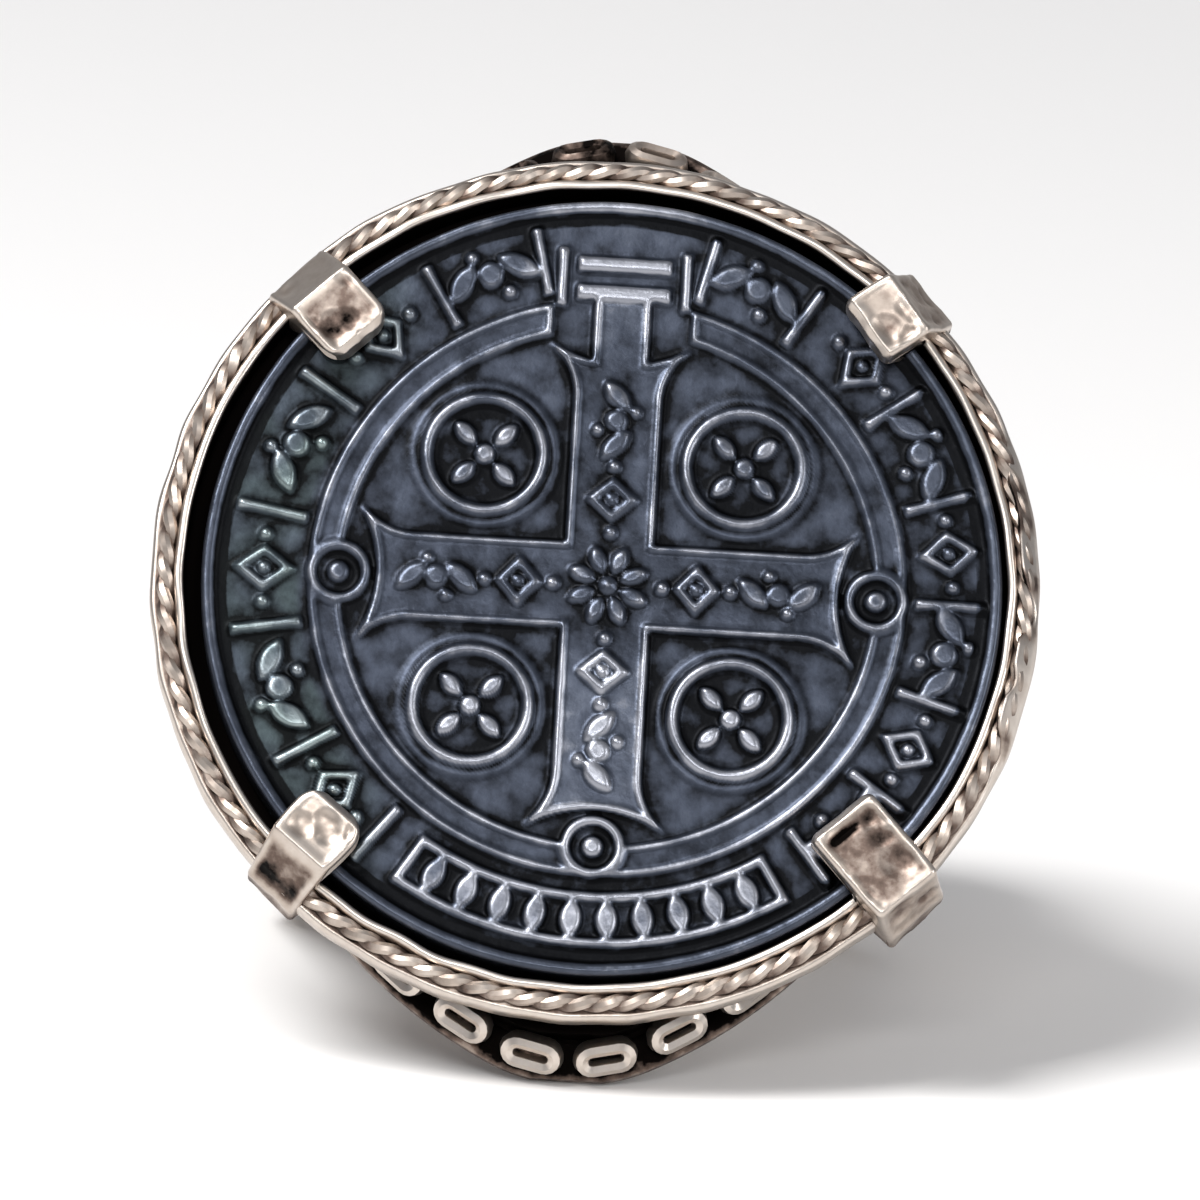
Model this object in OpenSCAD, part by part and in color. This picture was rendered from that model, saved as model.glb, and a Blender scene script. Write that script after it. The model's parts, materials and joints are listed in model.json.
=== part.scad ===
// Silver ring with a round cast medallion held by four claws on a round bezel.
// The ring frame has X across the finger, Y along the finger towards its tip
// and Z straight out of the head, with its origin on the axis of the finger hole.
// The finished ring is then laid on its side, the way it lies on a table.

/* [Finger hole and band] */
// Diameter of the finger hole
finger_d = 17.3; // [16:0.1:18.4]
// Thickness of the band at the back of the finger
band_back_t = 1.2; // [1:0.1:1.8]
// How far the outside of the band is set towards the head
band_shift = 0.6; // [0.4:0.1:1.2]
// Width of the band at the back of the finger
band_back_w = 7; // [6:0.5:8]
// Width of the band at its sides
band_side_w = 10.4; // [10:0.2:11]
// Radius of the shoulders where the band widens to the head
shoulder_r = 7.2; // [6:0.2:8]

/* [Gallery] */
// Thickness of silver between the finger hole and the plate
crown_t = 0.35; // [0.3:0.05:0.6]
// Length of the oval plate under the bezel, along the finger
plate_l = 27.6; // [26.5:0.1:28]
// Width of the oval plate, across the finger
plate_w = 21; // [20.6:0.1:21.4]
// Radius of the oval plate's ends
plate_end_r = 5.2; // [5:0.1:5.8]
// Length at which the oval's ends are filed flat
plate_flat_l = 27.4; // [26.4:0.1:27.4]
// Thickness of the plate
plate_t = 0.5; // [0.4:0.1:0.8]
// Height of the sunk neck between plate and bezel
neck_h = 0.8; // [0.6:0.1:1]
// How far the neck stands back from the plate's edge
neck_inset = 1.1; // [0.9:0.1:1.3]
// Number of loops round the gallery
loop_count = 32; // [28:2:36]
// Length of one loop, along the oval
loop_l = 1.85; // [1.6:0.05:2]
// Height of one loop
loop_h = 1.1; // [1:0.05:1.2]
// Thickness of one loop
loop_t = 0.5; // [0.4:0.05:0.6]
// Width of a loop's edge round its sunk middle
loop_edge = 0.3; // [0.2:0.05:0.35]

/* [Bezel] */
// Diameter over the bezel's flange
bezel_d = 25; // [24.8:0.1:25.4]
// Thickness of the flange
flange_t = 0.8; // [0.6:0.1:0.9]
// How far the medallion's face stands over the flange
face_over = 0.35; // [0.25:0.05:0.45]
// Outer diameter of the cup that the flange runs round
cup_d = 24.2; // [24:0.1:24.4]
// Thickness of the cup's floor
floor_t = 0.5; // [0.4:0.1:0.6]
// Outer diameter of the thin rim on the flange
rim_d = 23.7; // [23.7:0.1:23.9]
// Thickness of the rim
rim_t = 0.3; // [0.2:0.05:0.3]
// Height of the rim over the flange
rim_h = 0.45; // [0.35:0.05:0.5]
// Diameter of the twisted wire round the rim
wire_d = 0.55; // [0.45:0.05:0.6]

/* [Claws] */
// Width of a claw
claw_w = 2.1; // [1.9:0.1:2.5]
// Radius at which a claw ends over the medallion
claw_in_r = 9.7; // [9.4:0.1:9.9]
// Radius at which a claw is folded down over the rim
claw_fold_r = 11.7; // [11.6:0.1:11.8]
// Radius over the outside of a claw's foot
claw_out_r = 12.8; // [12.7:0.1:12.9]
// Thickness of a claw over the medallion
claw_t = 0.8; // [0.6:0.1:1]

/* [Medallion] */
// Diameter of the medallion
medal_d = 22.5; // [22.2:0.1:22.5]
// Thickness of the medallion without its relief
medal_t = 1.1; // [1:0.1:1.2]
// Height of the relief
relief = 0.25; // [0.15:0.05:0.25]
// How far the medallion has slipped off the middle of its seat
medal_slip = 0.2; // [0:0.05:0.2]
// How far the cast pattern lies off the medallion's middle, across the finger
pattern_off = 0.15; // [0:0.05:0.2]
// Width of the cross's arms
arm_w = 2.5; // [2:0.1:3]
// Gap between the medallion and the silver under and over it
seat_gap = 0.1; // [0.05:0.01:0.1]

/* [Hidden] */
$fn = 96;
eps = 0.01;

finger_r = finger_d / 2;
band_r = finger_r + band_back_t + band_shift;
band_back_z = -(finger_r + band_back_t);

// levels up the head, from the finger
plate_z = finger_r + crown_t;
neck_z = plate_z + plate_t;
cup_z = neck_z + neck_h;
seat_z = cup_z + floor_t;
medal_z = seat_z + seat_gap;
face_z = medal_z + medal_t;
flange_z = face_z - face_over;
claw_z = face_z + relief + seat_gap;

// the seat's round wall, and the wire, which sinks a little into flange and rim
seat_r = rim_d / 2 - rim_t;
wire_r = rim_d / 2 + 0.4 * wire_d;
wire_z = flange_z + 0.35 * wire_d;

// the ring lies on the plate's lower end and the edge of the band's back
rest_slope = (plate_flat_l / 2 - band_back_w / 2) / (plate_z - band_back_z);
rest_tilt = atan(rest_slope);
rest_z = plate_flat_l / 2 * cos(rest_tilt) - plate_z * sin(rest_tilt);
front_y = wire_r * sin(rest_tilt) + wire_z * cos(rest_tilt) + wire_d / 2;
back_y = band_back_w / 2 * sin(rest_tilt) - band_back_z * cos(rest_tilt);

// the oval is four arcs: two ends, and two long sides that run into them
end_y = plate_l / 2 - plate_end_r;
side_r = (end_y * end_y + pow(plate_w / 2, 2) - plate_end_r * plate_end_r)
    / (2 * (plate_w / 2 - plate_end_r));
side_x = side_r - plate_w / 2;
join_a = atan2(end_y, side_x);
side_len = 2 * join_a * PI / 180 * side_r;
end_len = (180 - 2 * join_a) * PI / 180 * plate_end_r;

// the claws were bent by hand. One row for each: its angle, then how far its tip,
// its fold and its foot are outside the radii above, and how much wider it is
claws = [
    [45.5, 0.6, 0.2, 0, 0],
    [136.5, -0.3, -0.3, -0.4, 0],
    [227, 0, -0.2, -0.1, 0],
    [317, -0.1, 1, 0.3, 0.1]
];

// rings of the medallion, from the middle outwards
field_r = 7.5;
inner_ring_r = 8.4;
margin_r = 10.95;
roundel_at = 3.65;
roundel_r = 2;
stop_at = 7.55;
stop_r = 0.95;
line_w = 0.3;
arm_reach = 7;
flare_w = 3.9;
flare_l = 1.1;
cross_h = relief - 0.02;
ring_h = relief - 0.05;
bar_w = 0.22;
slip_a = -25;

// one row for each thin bar across the margin: its angle
divider_angles = [0, 18, 36, 58, 76, 104, 122, 147, 170, 190, 212, 231, 309, 325, 343];

// one row for each ornament of the margin: its angle and its kind
margin_ornaments = [
    [9, "lozenge"], [27, "leaves"], [45, "lozenge"], [67, "leaves"], [113, "leaves"],
    [134, "lozenge"], [158, "leaves"], [180, "lozenge"], [201, "leaves"],
    [221, "lozenge"], [317, "leaves"], [334, "lozenge"], [351.5, "leaves"]
];

module oval(inset) {
    r_end = plate_end_r - inset;
    r_side = side_r - inset;
    join_y = r_side * sin(join_a);
    for (way = [-1, 1])
        translate([0, way * end_y]) circle(r = r_end);
    intersection() {
        translate([-side_x, 0]) circle(r = r_side);
        translate([side_x, 0]) circle(r = r_side);
        square([plate_w, 2 * join_y], center = true);
    }
}

// a place on the oval, s along its edge from the middle of the fingertip end:
// [x, y, angle of the outward direction]
function oval_place(s, inset) =
    let (round_len = 2 * side_len + 2 * end_len)
    let (u = (s + round_len) % round_len)
    let (half_end = end_len / 2)
    u < half_end ? end_place(90 - u / plate_end_r * 180 / PI, 1, inset)
    : u < half_end + side_len
        ? side_place(join_a - (u - half_end) / side_r * 180 / PI, 1, inset)
    : u < 3 * half_end + side_len
        ? end_place(-join_a - (u - half_end - side_len) / plate_end_r * 180 / PI, -1, inset)
    : u < 3 * half_end + 2 * side_len
        ? side_place(180 + join_a - (u - 3 * half_end - side_len) / side_r * 180 / PI, -1, inset)
    : end_place(90 + (round_len - u) / plate_end_r * 180 / PI, 1, inset);

function end_place(a, way, inset) =
    [(plate_end_r - inset) * cos(a), way * end_y + (plate_end_r - inset) * sin(a), a];

function side_place(a, way, inset) =
    [(side_r - inset) * cos(a) - way * side_x, (side_r - inset) * sin(a), a];

module ring_plate(r_out, r_in, h) {
    difference() {
        cylinder(r = r_out, h = h);
        translate([0, 0, -eps]) cylinder(r = r_in, h = h + 2 * eps);
    }
}

// the band's outline from the side: flat edges to lie on, then shoulders
module band_side_view() {
    side_z = band_back_z + (band_side_w - band_back_w) / 2 / rest_slope;
    shoulder_z = plate_z - shoulder_r;
    bite = 0.05;
    difference() {
        union() {
            polygon([
                [-band_back_w / 2, band_back_z], [band_back_w / 2, band_back_z],
                [band_side_w / 2, side_z], [band_side_w / 2, shoulder_z + eps],
                [-band_side_w / 2, shoulder_z + eps], [-band_side_w / 2, side_z]
            ]);
            translate([-band_side_w / 2 - shoulder_r + bite, shoulder_z])
                square([band_side_w + 2 * (shoulder_r - bite), shoulder_r + eps]);
        }
        for (way = [-1, 1])
            translate([way * (band_side_w / 2 + shoulder_r - bite), shoulder_z])
                circle(r = shoulder_r);
    }
}

module band() {
    edge_inset = 0.3;
    intersection() {
        translate([0, 0, band_shift])
            rotate([90, 0, 0]) cylinder(r = band_r, h = 2 * plate_l, center = true);
        rotate([90, 0, 90])
            linear_extrude(height = 3 * band_r, center = true) band_side_view();
        linear_extrude(height = 4 * band_r, center = true) oval(edge_inset);
    }
}

// one loop of the gallery, leaning out against the neck
module gallery_loop() {
    lean = 45;
    cut = 0.3;
    rotate([0, lean, 0]) rotate([0, 0, 90])
        translate([0, 0, -loop_t / 2])
            difference() {
                linear_extrude(height = loop_t) chamfered(loop_l, loop_h, cut);
                translate([0, 0, loop_t / 2]) linear_extrude(height = loop_t)
                    chamfered(loop_l - 2 * loop_edge, loop_h - 2 * loop_edge, cut / 2);
            }
}

module chamfered(l, w, cut) {
    polygon([
        [-l / 2 + cut, -w / 2], [l / 2 - cut, -w / 2], [l / 2, -w / 2 + cut],
        [l / 2, w / 2 - cut], [l / 2 - cut, w / 2], [-l / 2 + cut, w / 2],
        [-l / 2, w / 2 - cut], [-l / 2, -w / 2 + cut]
    ]);
}

module gallery() {
    loop_inset = neck_inset / 2 + 0.05;
    pitch = (2 * side_len + 2 * end_len) / loop_count;
    intersection() {
        translate([0, 0, plate_z]) linear_extrude(height = plate_t) oval(0);
        cube([2 * plate_w, plate_flat_l, 4 * band_r], center = true);
    }
    translate([0, 0, neck_z - eps])
        linear_extrude(height = neck_h + 2 * eps) oval(neck_inset);
    for (i = [0 : loop_count - 1]) {
        place = oval_place((i + 0.5) * pitch, loop_inset);
        translate([place[0], place[1], neck_z + neck_h / 2])
            rotate([0, 0, place[2]]) gallery_loop();
    }
}

// a cup with a flange round it, whose rim and wire lie about level with the
// medallion's face
module bezel() {
    difference() {
        union() {
            translate([0, 0, cup_z]) cylinder(d = cup_d, h = flange_z - cup_z);
            translate([0, 0, flange_z - flange_t]) cylinder(d = bezel_d, h = flange_t);
            translate([0, 0, flange_z - eps]) cylinder(d = rim_d, h = rim_h + eps);
        }
        translate([0, 0, seat_z]) cylinder(r = seat_r, h = flange_z);
    }
    translate([0, 0, wire_z])
        rotate_extrude() translate([wire_r, 0]) circle(d = wire_d, $fn = 24);
}

// a square claw: a leg up the outside of the cup, which leans in to its fold and
// then lies over the medallion
module claw(tip_r, fold_r, foot_r, width) {
    leg_in_r = seat_r + 0.05;
    foot_z = cup_z + 0.1;
    knee_z = flange_z - 0.3;
    top_z = claw_z + claw_t;
    tip_bevel = 0.35;
    rotate([90, 0, 0]) linear_extrude(height = width, center = true) polygon([
        [tip_r, claw_z], [tip_r, top_z - tip_bevel], [tip_r + tip_bevel, top_z],
        [fold_r, top_z], [foot_r, knee_z], [foot_r, foot_z],
        [leg_in_r, foot_z], [leg_in_r, claw_z]
    ]);
}

module setting() {
    color("#b8b0a6") difference() {
        union() {
            band();
            gallery();
            bezel();
            for (row = claws)
                rotate([0, 0, row[0]])
                    claw(claw_in_r + row[1], claw_fold_r + row[2], claw_out_r + row[3],
                        claw_w + row[4]);
        }
        rotate([90, 0, 0]) cylinder(r = finger_r, h = 2 * plate_l, center = true);
    }
}

// one arm of the cross, from the middle to its flared end
module arm_outline() {
    bow_r = 4;
    bow_depth = 0.3;
    side_bow_r = 1.25;
    side_bow_y = arm_reach - flare_l - 0.1;
    difference() {
        union() {
            translate([-arm_w / 2, 0]) square([arm_w, arm_reach]);
            translate([-flare_w / 2, arm_reach - flare_l]) square([flare_w, flare_l]);
        }
        for (way = [-1, 1])
            translate([way * (arm_w / 2 + side_bow_r - 2 * eps), side_bow_y])
                circle(r = side_bow_r, $fn = 48);
        translate([0, arm_reach + bow_r - bow_depth]) circle(r = bow_r);
    }
}

module cross() {
    neck_w = 1.6;
    linear_extrude(height = cross_h) {
        for (a = [0 : 90 : 270]) rotate(a) arm_outline();
        // the arm towards the fingertip runs on through the inner ring
        translate([-neck_w / 2, 0]) square([neck_w, inner_ring_r + 0.1]);
    }
}

// ornaments stand on the plane z = 0
module lozenge(l, w) {
    linear_extrude(height = relief) polygon([[-l / 2, 0], [0, -w / 2], [l / 2, 0], [0, w / 2]]);
}

module bead(r) {
    cylinder(r = r, h = relief, $fn = 24);
}

// two leaves either side of a bead, along Y
module leaves(l) {
    bead(0.16 * l);
    for (way = [-1, 1])
        translate([0, way * 0.33 * l, 0]) rotate([0, 0, way * 25]) lozenge(0.22 * l, 0.42 * l);
}

module four_petals(r) {
    bead(0.3 * r);
    for (a = [45 : 90 : 315]) rotate([0, 0, a]) translate([0.62 * r, 0, 0]) bead(0.27 * r);
}

module ring_line(r_out) {
    ring_plate(r_out, r_out - line_w, relief);
}

module roundel() {
    ring_line(roundel_r);
    ring_line(roundel_r - 2 * line_w);
    four_petals(roundel_r - 3.4 * line_w);
}

// a small ring set on the inner ring, with a lozenge in it
module stop() {
    ring_line(stop_r);
    lozenge(0.6, 0.75);
}

module inner_ring() {
    difference() {
        ring_plate(inner_ring_r, field_r, ring_h);
        translate([-flare_w / 2, 0, -eps]) cube([flare_w, inner_ring_r + 1, 1]);
        for (a = [180, 270, 0])
            rotate([0, 0, a]) translate([stop_at, 0, -eps]) cylinder(r = stop_r - 0.1, h = 1);
    }
}

module margin() {
    bar_mid = (inner_ring_r + margin_r) / 2;
    for (a = divider_angles)
        rotate([0, 0, a]) translate([bar_mid, 0, relief / 2])
            cube([margin_r - inner_ring_r - 0.5, bar_w, relief], center = true);
    for (row = margin_ornaments)
        rotate([0, 0, row[0]]) translate([bar_mid, 0, 0]) {
            if (row[1] == "lozenge") lozenge(1.3, 1);
            else leaves(1.7);
        }
}

// the framed panel of the margin at the wrist side, with a row of beads in it
module panel() {
    panel_in_r = 8.95;
    panel_out_r = 10.45;
    half_a = 33;
    end_a = 1.6;
    bead_r = 0.32;
    difference() {
        rotate([0, 0, 270 - half_a]) rotate_extrude(angle = 2 * half_a)
            translate([panel_in_r, 0]) square([panel_out_r - panel_in_r, relief]);
        rotate([0, 0, 270 - half_a + end_a]) rotate_extrude(angle = 2 * (half_a - end_a))
            translate([panel_in_r + bar_w, -eps])
                square([panel_out_r - panel_in_r - 2 * bar_w, relief + 2 * eps]);
    }
    for (a = [-27 : 6 : 27])
        rotate([0, 0, 270 + a]) translate([(panel_in_r + panel_out_r) / 2, 0, 0]) bead(bead_r);
}

// the upright frame of the margin at the fingertip side, with two bars in it
module frame_bars() {
    frame_y = 8.97;
    thick_bar_l = 2.65;
    thick_bar_w = 0.42;
    half_pitch = 0.41;
    post_at = 1.75;
    post_l = 1.7;
    for (way = [-1, 1]) {
        translate([0, frame_y + way * half_pitch, relief / 2])
            cube([thick_bar_l, thick_bar_w, relief], center = true);
        translate([way * post_at, frame_y, relief / 2])
            cube([bar_w, post_l, relief], center = true);
    }
}

// ornaments along the cross: a lozenge or leaves at each step
module cross_ornaments() {
    translate([0, 0, relief / 2]) {
        four_petals(0.95);
        for (a = [0 : 90 : 270]) rotate([0, 0, a]) {
            translate([0, 2.5, 0]) lozenge(1, 1.3);
            translate([0, 4.8, 0]) leaves(1.6);
        }
    }
}

module pattern() {
    inner_ring();
    cross();
    for (x = [-1, 1], y = [-1, 1])
        translate([x * roundel_at, y * roundel_at, 0]) roundel();
    for (a = [180, 270, 0]) rotate([0, 0, a]) translate([stop_at, 0, 0]) stop();
    margin();
    panel();
    frame_bars();
    cross_ornaments();
}

module medallion() {
    edge_w = 0.05;
    color("#2d323b") translate([medal_slip * cos(slip_a), medal_slip * sin(slip_a), medal_z]) {
        cylinder(d = medal_d, h = medal_t);
        translate([0, 0, medal_t - eps]) {
            ring_plate(medal_d / 2 - edge_w, margin_r, relief + eps);
            translate([pattern_off, 0, 0]) pattern();
        }
    }
}

// lays the ring on its side, head forwards, with its lowest points on the table
module at_rest() {
    translate([0, (front_y - back_y) / 2, rest_z]) rotate([90 - rest_tilt, 0, 0]) children();
}

at_rest() setting();
at_rest() medallion();
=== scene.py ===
"""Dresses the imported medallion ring: a silver ring that lies on its side, with a blackened
cast medallion held in a round bezel by four square claws.

Sizes are millimetres in the ring's own directions: x across the finger, y along the finger
towards its tip and z straight out of the head. RingFrame turns them into the model's metres.
"""

import json
import logging
import math
from collections.abc import Callable
from dataclasses import dataclass, field
from enum import Enum

import bpy
import numpy as np
from mathutils import Matrix, Quaternion, Vector

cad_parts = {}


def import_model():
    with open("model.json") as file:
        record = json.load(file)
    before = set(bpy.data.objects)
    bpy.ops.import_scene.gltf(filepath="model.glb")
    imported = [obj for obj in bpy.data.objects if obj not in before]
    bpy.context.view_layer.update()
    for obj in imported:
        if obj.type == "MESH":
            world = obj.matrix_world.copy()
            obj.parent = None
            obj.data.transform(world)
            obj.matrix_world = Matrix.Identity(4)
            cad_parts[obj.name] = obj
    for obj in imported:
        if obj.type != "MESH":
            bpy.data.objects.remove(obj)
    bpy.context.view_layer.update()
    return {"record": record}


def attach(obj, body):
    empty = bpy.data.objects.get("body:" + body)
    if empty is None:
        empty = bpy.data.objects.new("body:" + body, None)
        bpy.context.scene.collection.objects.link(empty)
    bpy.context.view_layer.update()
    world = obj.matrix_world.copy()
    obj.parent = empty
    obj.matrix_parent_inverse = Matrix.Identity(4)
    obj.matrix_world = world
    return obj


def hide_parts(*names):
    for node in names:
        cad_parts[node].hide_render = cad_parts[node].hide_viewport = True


LOG = logging.getLogger("medallion_ring")
BODY = "root"
MM = 0.001
FLOAT_MARK = {"data_type": "FLOAT", "domain": "POINT"}

Array = np.ndarray
Pair = tuple[float, float]
Faces = list[list[int]]
Distance = Callable[[Array, Array], Array]
Tree = bpy.types.NodeTree
Node = bpy.types.Node
Socket = bpy.types.NodeSocket
Piece = bpy.types.Object
Material = bpy.types.Material


class Slot(Enum):
    """Material slots of the record."""

    SILVER = "silver"
    BRONZE = "blackened_bronze"


class Motif(Enum):
    """Common ornaments that stand round the medallion's margin."""

    LOZENGE = "lozenge"
    LEAVES = "leaves"


@dataclass(frozen=True)
class RingFrame:
    """The ring's own directions, read from the finger hole's mount.

    Args:
        origin: a point on the hole's axis, level with the middle of the band, in metres.
        along: direction of the hole's axis, towards the fingertip.
        hole_r: radius of the hole, in millimetres.
    """

    origin: tuple[float, float, float]
    along: tuple[float, float, float]
    hole_r: float

    @classmethod
    def from_record(cls, record: dict) -> "RingFrame":
        """Reads the finger hole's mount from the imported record."""
        hole = next(row for row in record["mounts"] if row["name"] == "finger_hole")
        return cls(tuple(hole["pos_m"]), tuple(hole["axis"]), hole["dims"]["r_mm"])

    def matrix(self) -> Matrix:
        """Works out where the ring's own directions lie in the model.

        Returns:
            The matrix from ring millimetres to the model's metres.
        """
        across = Vector((1.0, 0.0, 0.0))
        along = Vector(self.along)
        outward = across.cross(along)
        turn = Matrix((across, along, outward)).transposed().to_4x4()
        return Matrix.Translation(self.origin) @ turn @ Matrix.Scale(MM, 4)


@dataclass(frozen=True)
class Levels:
    """Heights up the head, from the axis of the finger hole."""

    plate: float = 9.0
    neck: float = 9.5
    cup: float = 10.3
    seat: float = 10.8
    medal: float = 10.9
    flange: float = 11.65
    face: float = 12.0
    rim_top: float = 12.1
    claw: float = 12.35


@dataclass(frozen=True)
class Oval:
    """Outline of the gallery's plate: two end arcs joined by two long sides.

    Args:
        length: its length along the finger.
        width: its width across the finger.
        end_r: radius of its ends.
    """

    length: float = 27.6
    width: float = 21.0
    end_r: float = 5.2

    @property
    def end_y(self) -> float:
        """How far the middle of an end arc is from the middle of the oval."""
        return self.length / 2 - self.end_r

    @property
    def side_r(self) -> float:
        """Radius of the long sides."""
        half = self.width / 2
        return (self.end_y**2 + half**2 - self.end_r**2) / (2 * (half - self.end_r))

    @property
    def side_x(self) -> float:
        """How far the middle of a side arc is from the middle of the oval."""
        return self.side_r - self.width / 2

    @property
    def join(self) -> float:
        """Angle at which a side arc runs into an end arc."""
        return math.atan2(self.end_y, self.side_x)

    @property
    def round_length(self) -> float:
        """Length once round the oval."""
        return 4 * self.join * self.side_r + 2 * (math.pi - 2 * self.join) * self.end_r

    def places(self, inset: float, count: int, start: float = 0.0) -> tuple[Array, Array]:
        """Spreads points evenly round the oval, from the middle of the fingertip end.

        Args:
            inset: how far inside the outline they lie.
            count: how many points there are.
            start: where the first one lies, in parts of one step.

        Returns:
            The points as rows of x and y, and the angle of the outward direction at each.
        """
        run = (np.arange(count) + start) / count * self.round_length
        half_end = (math.pi - 2 * self.join) * self.end_r / 2
        side = 2 * self.join * self.side_r
        starts = [half_end, half_end + side, 3 * half_end + side, 3 * half_end + 2 * side]
        parts = [run < at for at in starts]
        angle = np.select(
            parts,
            [
                math.pi / 2 - run / self.end_r,
                self.join - (run - starts[0]) / self.side_r,
                -self.join - (run - starts[1]) / self.end_r,
                math.pi + self.join - (run - starts[2]) / self.side_r,
            ],
            math.pi / 2 + (self.round_length - run) / self.end_r,
        )
        radius = np.select(parts, [self.end_r, self.side_r, self.end_r, self.side_r], self.end_r)
        mid_x = np.select(parts, [0.0, -self.side_x, 0.0, self.side_x], 0.0)
        mid_y = np.select(parts, [self.end_y, 0.0, -self.end_y, 0.0], self.end_y)
        reach = radius - inset
        points = np.stack([mid_x + reach * np.cos(angle), mid_y + reach * np.sin(angle)], axis=1)
        return points, angle

    def half_width(self, y: Array, inset: float) -> Array:
        """Half the oval's width along its length.

        Args:
            y: how far along the finger from its middle.
            inset: how far inside the outline.

        Returns:
            Half the width there, and past the end how far off the end is, below 0.
        """
        y = np.abs(y)
        side = np.sqrt(np.maximum((self.side_r - inset) ** 2 - y**2, 0)) - self.side_x
        end = np.sqrt(np.maximum((self.end_r - inset) ** 2 - (y - self.end_y) ** 2, 0))
        past = y - (self.end_y + self.end_r - inset)
        at_join = self.end_y + (self.end_r - inset) * math.sin(self.join)
        return np.where(past > 0, -past, np.where(y < at_join, side, end))


def smooth_step(value: Array, low: float, high: float) -> Array:
    """Rises smoothly from 0 at low to 1 at high."""
    part = np.clip((value - low) / (high - low), 0.0, 1.0)
    return part * part * (3.0 - 2.0 * part)


def smooth_max(a: Array, b: Array, width: float) -> Array:
    """The larger of two distances, with the corner between them rounded over width."""
    near = np.maximum(width - np.abs(a - b), 0.0) / width
    return np.maximum(a, b) + near * near * width / 4


def wobble(angle: Array, waves: range, seed: int) -> Array:
    """An uneven line round a circle, as a hand leaves it.

    Args:
        angle: where on the circle, in radians.
        waves: how many waves fit round it, from few to many.
        seed: which of the uneven lines it is.

    Returns:
        Values of about -1 to 1.
    """
    rng = np.random.default_rng(seed)
    total = np.zeros_like(angle)
    for count in waves:
        total += rng.normal() * np.cos(count * angle + rng.uniform(0, 2 * math.pi))
    return total / math.sqrt(len(waves))


def grid_faces(rows: int, columns: int, closed_rows: bool, closed_columns: bool) -> Faces:
    """Lists the quads of a grid of points that is stored row by row.

    Args:
        rows: number of rows.
        columns: number of points in a row.
        closed_rows: whether the last row joins the first.
        closed_columns: whether a row's last point joins its first.

    Returns:
        One list of four point numbers for each quad.
    """
    row = np.arange(rows if closed_rows else rows - 1)
    column = np.arange(columns if closed_columns else columns - 1)
    i, j = np.meshgrid(row, column, indexing="ij")
    below = (i + 1) % rows
    beside = (j + 1) % columns
    corners = [i * columns + j, i * columns + beside, below * columns + beside, below * columns + j]
    return np.stack(corners, axis=-1).reshape(-1, 4).tolist()


def tube_faces(rows: int, columns: int) -> Faces:
    """Lists the faces of a tube of closed rows, with one face over each end.

    Args:
        rows: number of rows.
        columns: number of points in a row.

    Returns:
        One list of point numbers for each face.
    """
    faces = grid_faces(rows, columns, False, True)
    faces.append(list(range(columns))[::-1])
    faces.append([(rows - 1) * columns + k for k in range(columns)])
    return faces


def solid_volume(points: Array, faces: Faces) -> float:
    """Measures the volume that closed faces hold.

    Args:
        points: one row of x, y and z for each point.
        faces: point numbers of each face.

    Returns:
        The volume, below 0 where the faces point inwards.
    """
    total = 0.0
    for size in {len(face) for face in faces}:
        same = np.array([face for face in faces if len(face) == size])
        first = points[same[:, 0]]
        for k in range(1, size - 1):
            cross = np.cross(points[same[:, k]], points[same[:, k + 1]])
            total += float(np.einsum("ij,ij->", first, cross))
    return total / 6


def make_piece(
    name: str,
    ring: RingFrame,
    points: Array,
    faces: Faces,
    marks: dict[str, Array],
    sharp_over: float = 40.0,
) -> Piece:
    """Makes a closed mesh from points in ring millimetres, with its faces outwards.

    Args:
        name: the piece's name.
        ring: the ring's directions.
        points: one row of x, y and z for each point.
        faces: point numbers of each face.
        marks: values at the points that the finish reads, by attribute name.
        sharp_over: edges that bend by more than this many degrees stay sharp.

    Returns:
        The new object, with its place in its mesh.
    """
    if solid_volume(points, faces) < 0:
        faces = [face[::-1] for face in faces]
    mesh = bpy.data.meshes.new(name)
    mesh.from_pydata(points.tolist(), [], faces)
    mesh.transform(ring.matrix())
    for mark, values in marks.items():
        layer = mesh.attributes.new(mark, "FLOAT", "POINT")
        layer.data.foreach_set("value", np.asarray(values, dtype=np.float32).ravel())
    return place_piece(mesh, sharp_over)


def place_piece(mesh: bpy.types.Mesh, sharp_over: float = 40.0) -> Piece:
    """Shades a mesh smoothly between its sharp edges and puts it in the scene.

    Args:
        mesh: the mesh, in the model's metres.
        sharp_over: edges that bend by more than this many degrees stay sharp.

    Returns:
        The new object.
    """
    mesh.shade_smooth()
    mesh.set_sharp_from_angle(angle=math.radians(sharp_over))
    piece = bpy.data.objects.new(mesh.name, mesh)
    bpy.context.scene.collection.objects.link(piece)
    return piece


def finish_piece(piece: Piece, node: str, material: Material) -> None:
    """Gives a piece its material and body, and lets it stand for a CAD node.

    Args:
        piece: the piece.
        node: the CAD node.
        material: its material.
    """
    piece.data.materials.clear()
    piece.data.materials.append(material)
    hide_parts(node)
    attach(piece, BODY)
    piece.data.calc_loop_triangles()
    LOG.info("%s: %d triangles", piece.name, len(piece.data.loop_triangles))


def hex_to_linear(code: str) -> tuple[float, float, float, float]:
    """Turns an sRGB colour into a linear one.

    Args:
        code: the colour, such as #a0b0c0.

    Returns:
        Its linear red, green, blue and alpha.
    """
    channels = [int(code[k : k + 2], 16) / 255 for k in (1, 3, 5)]
    linear = [c / 12.92 if c <= 0.04045 else ((c + 0.055) / 1.055) ** 2.4 for c in channels]
    return (*linear, 1.0)


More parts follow.
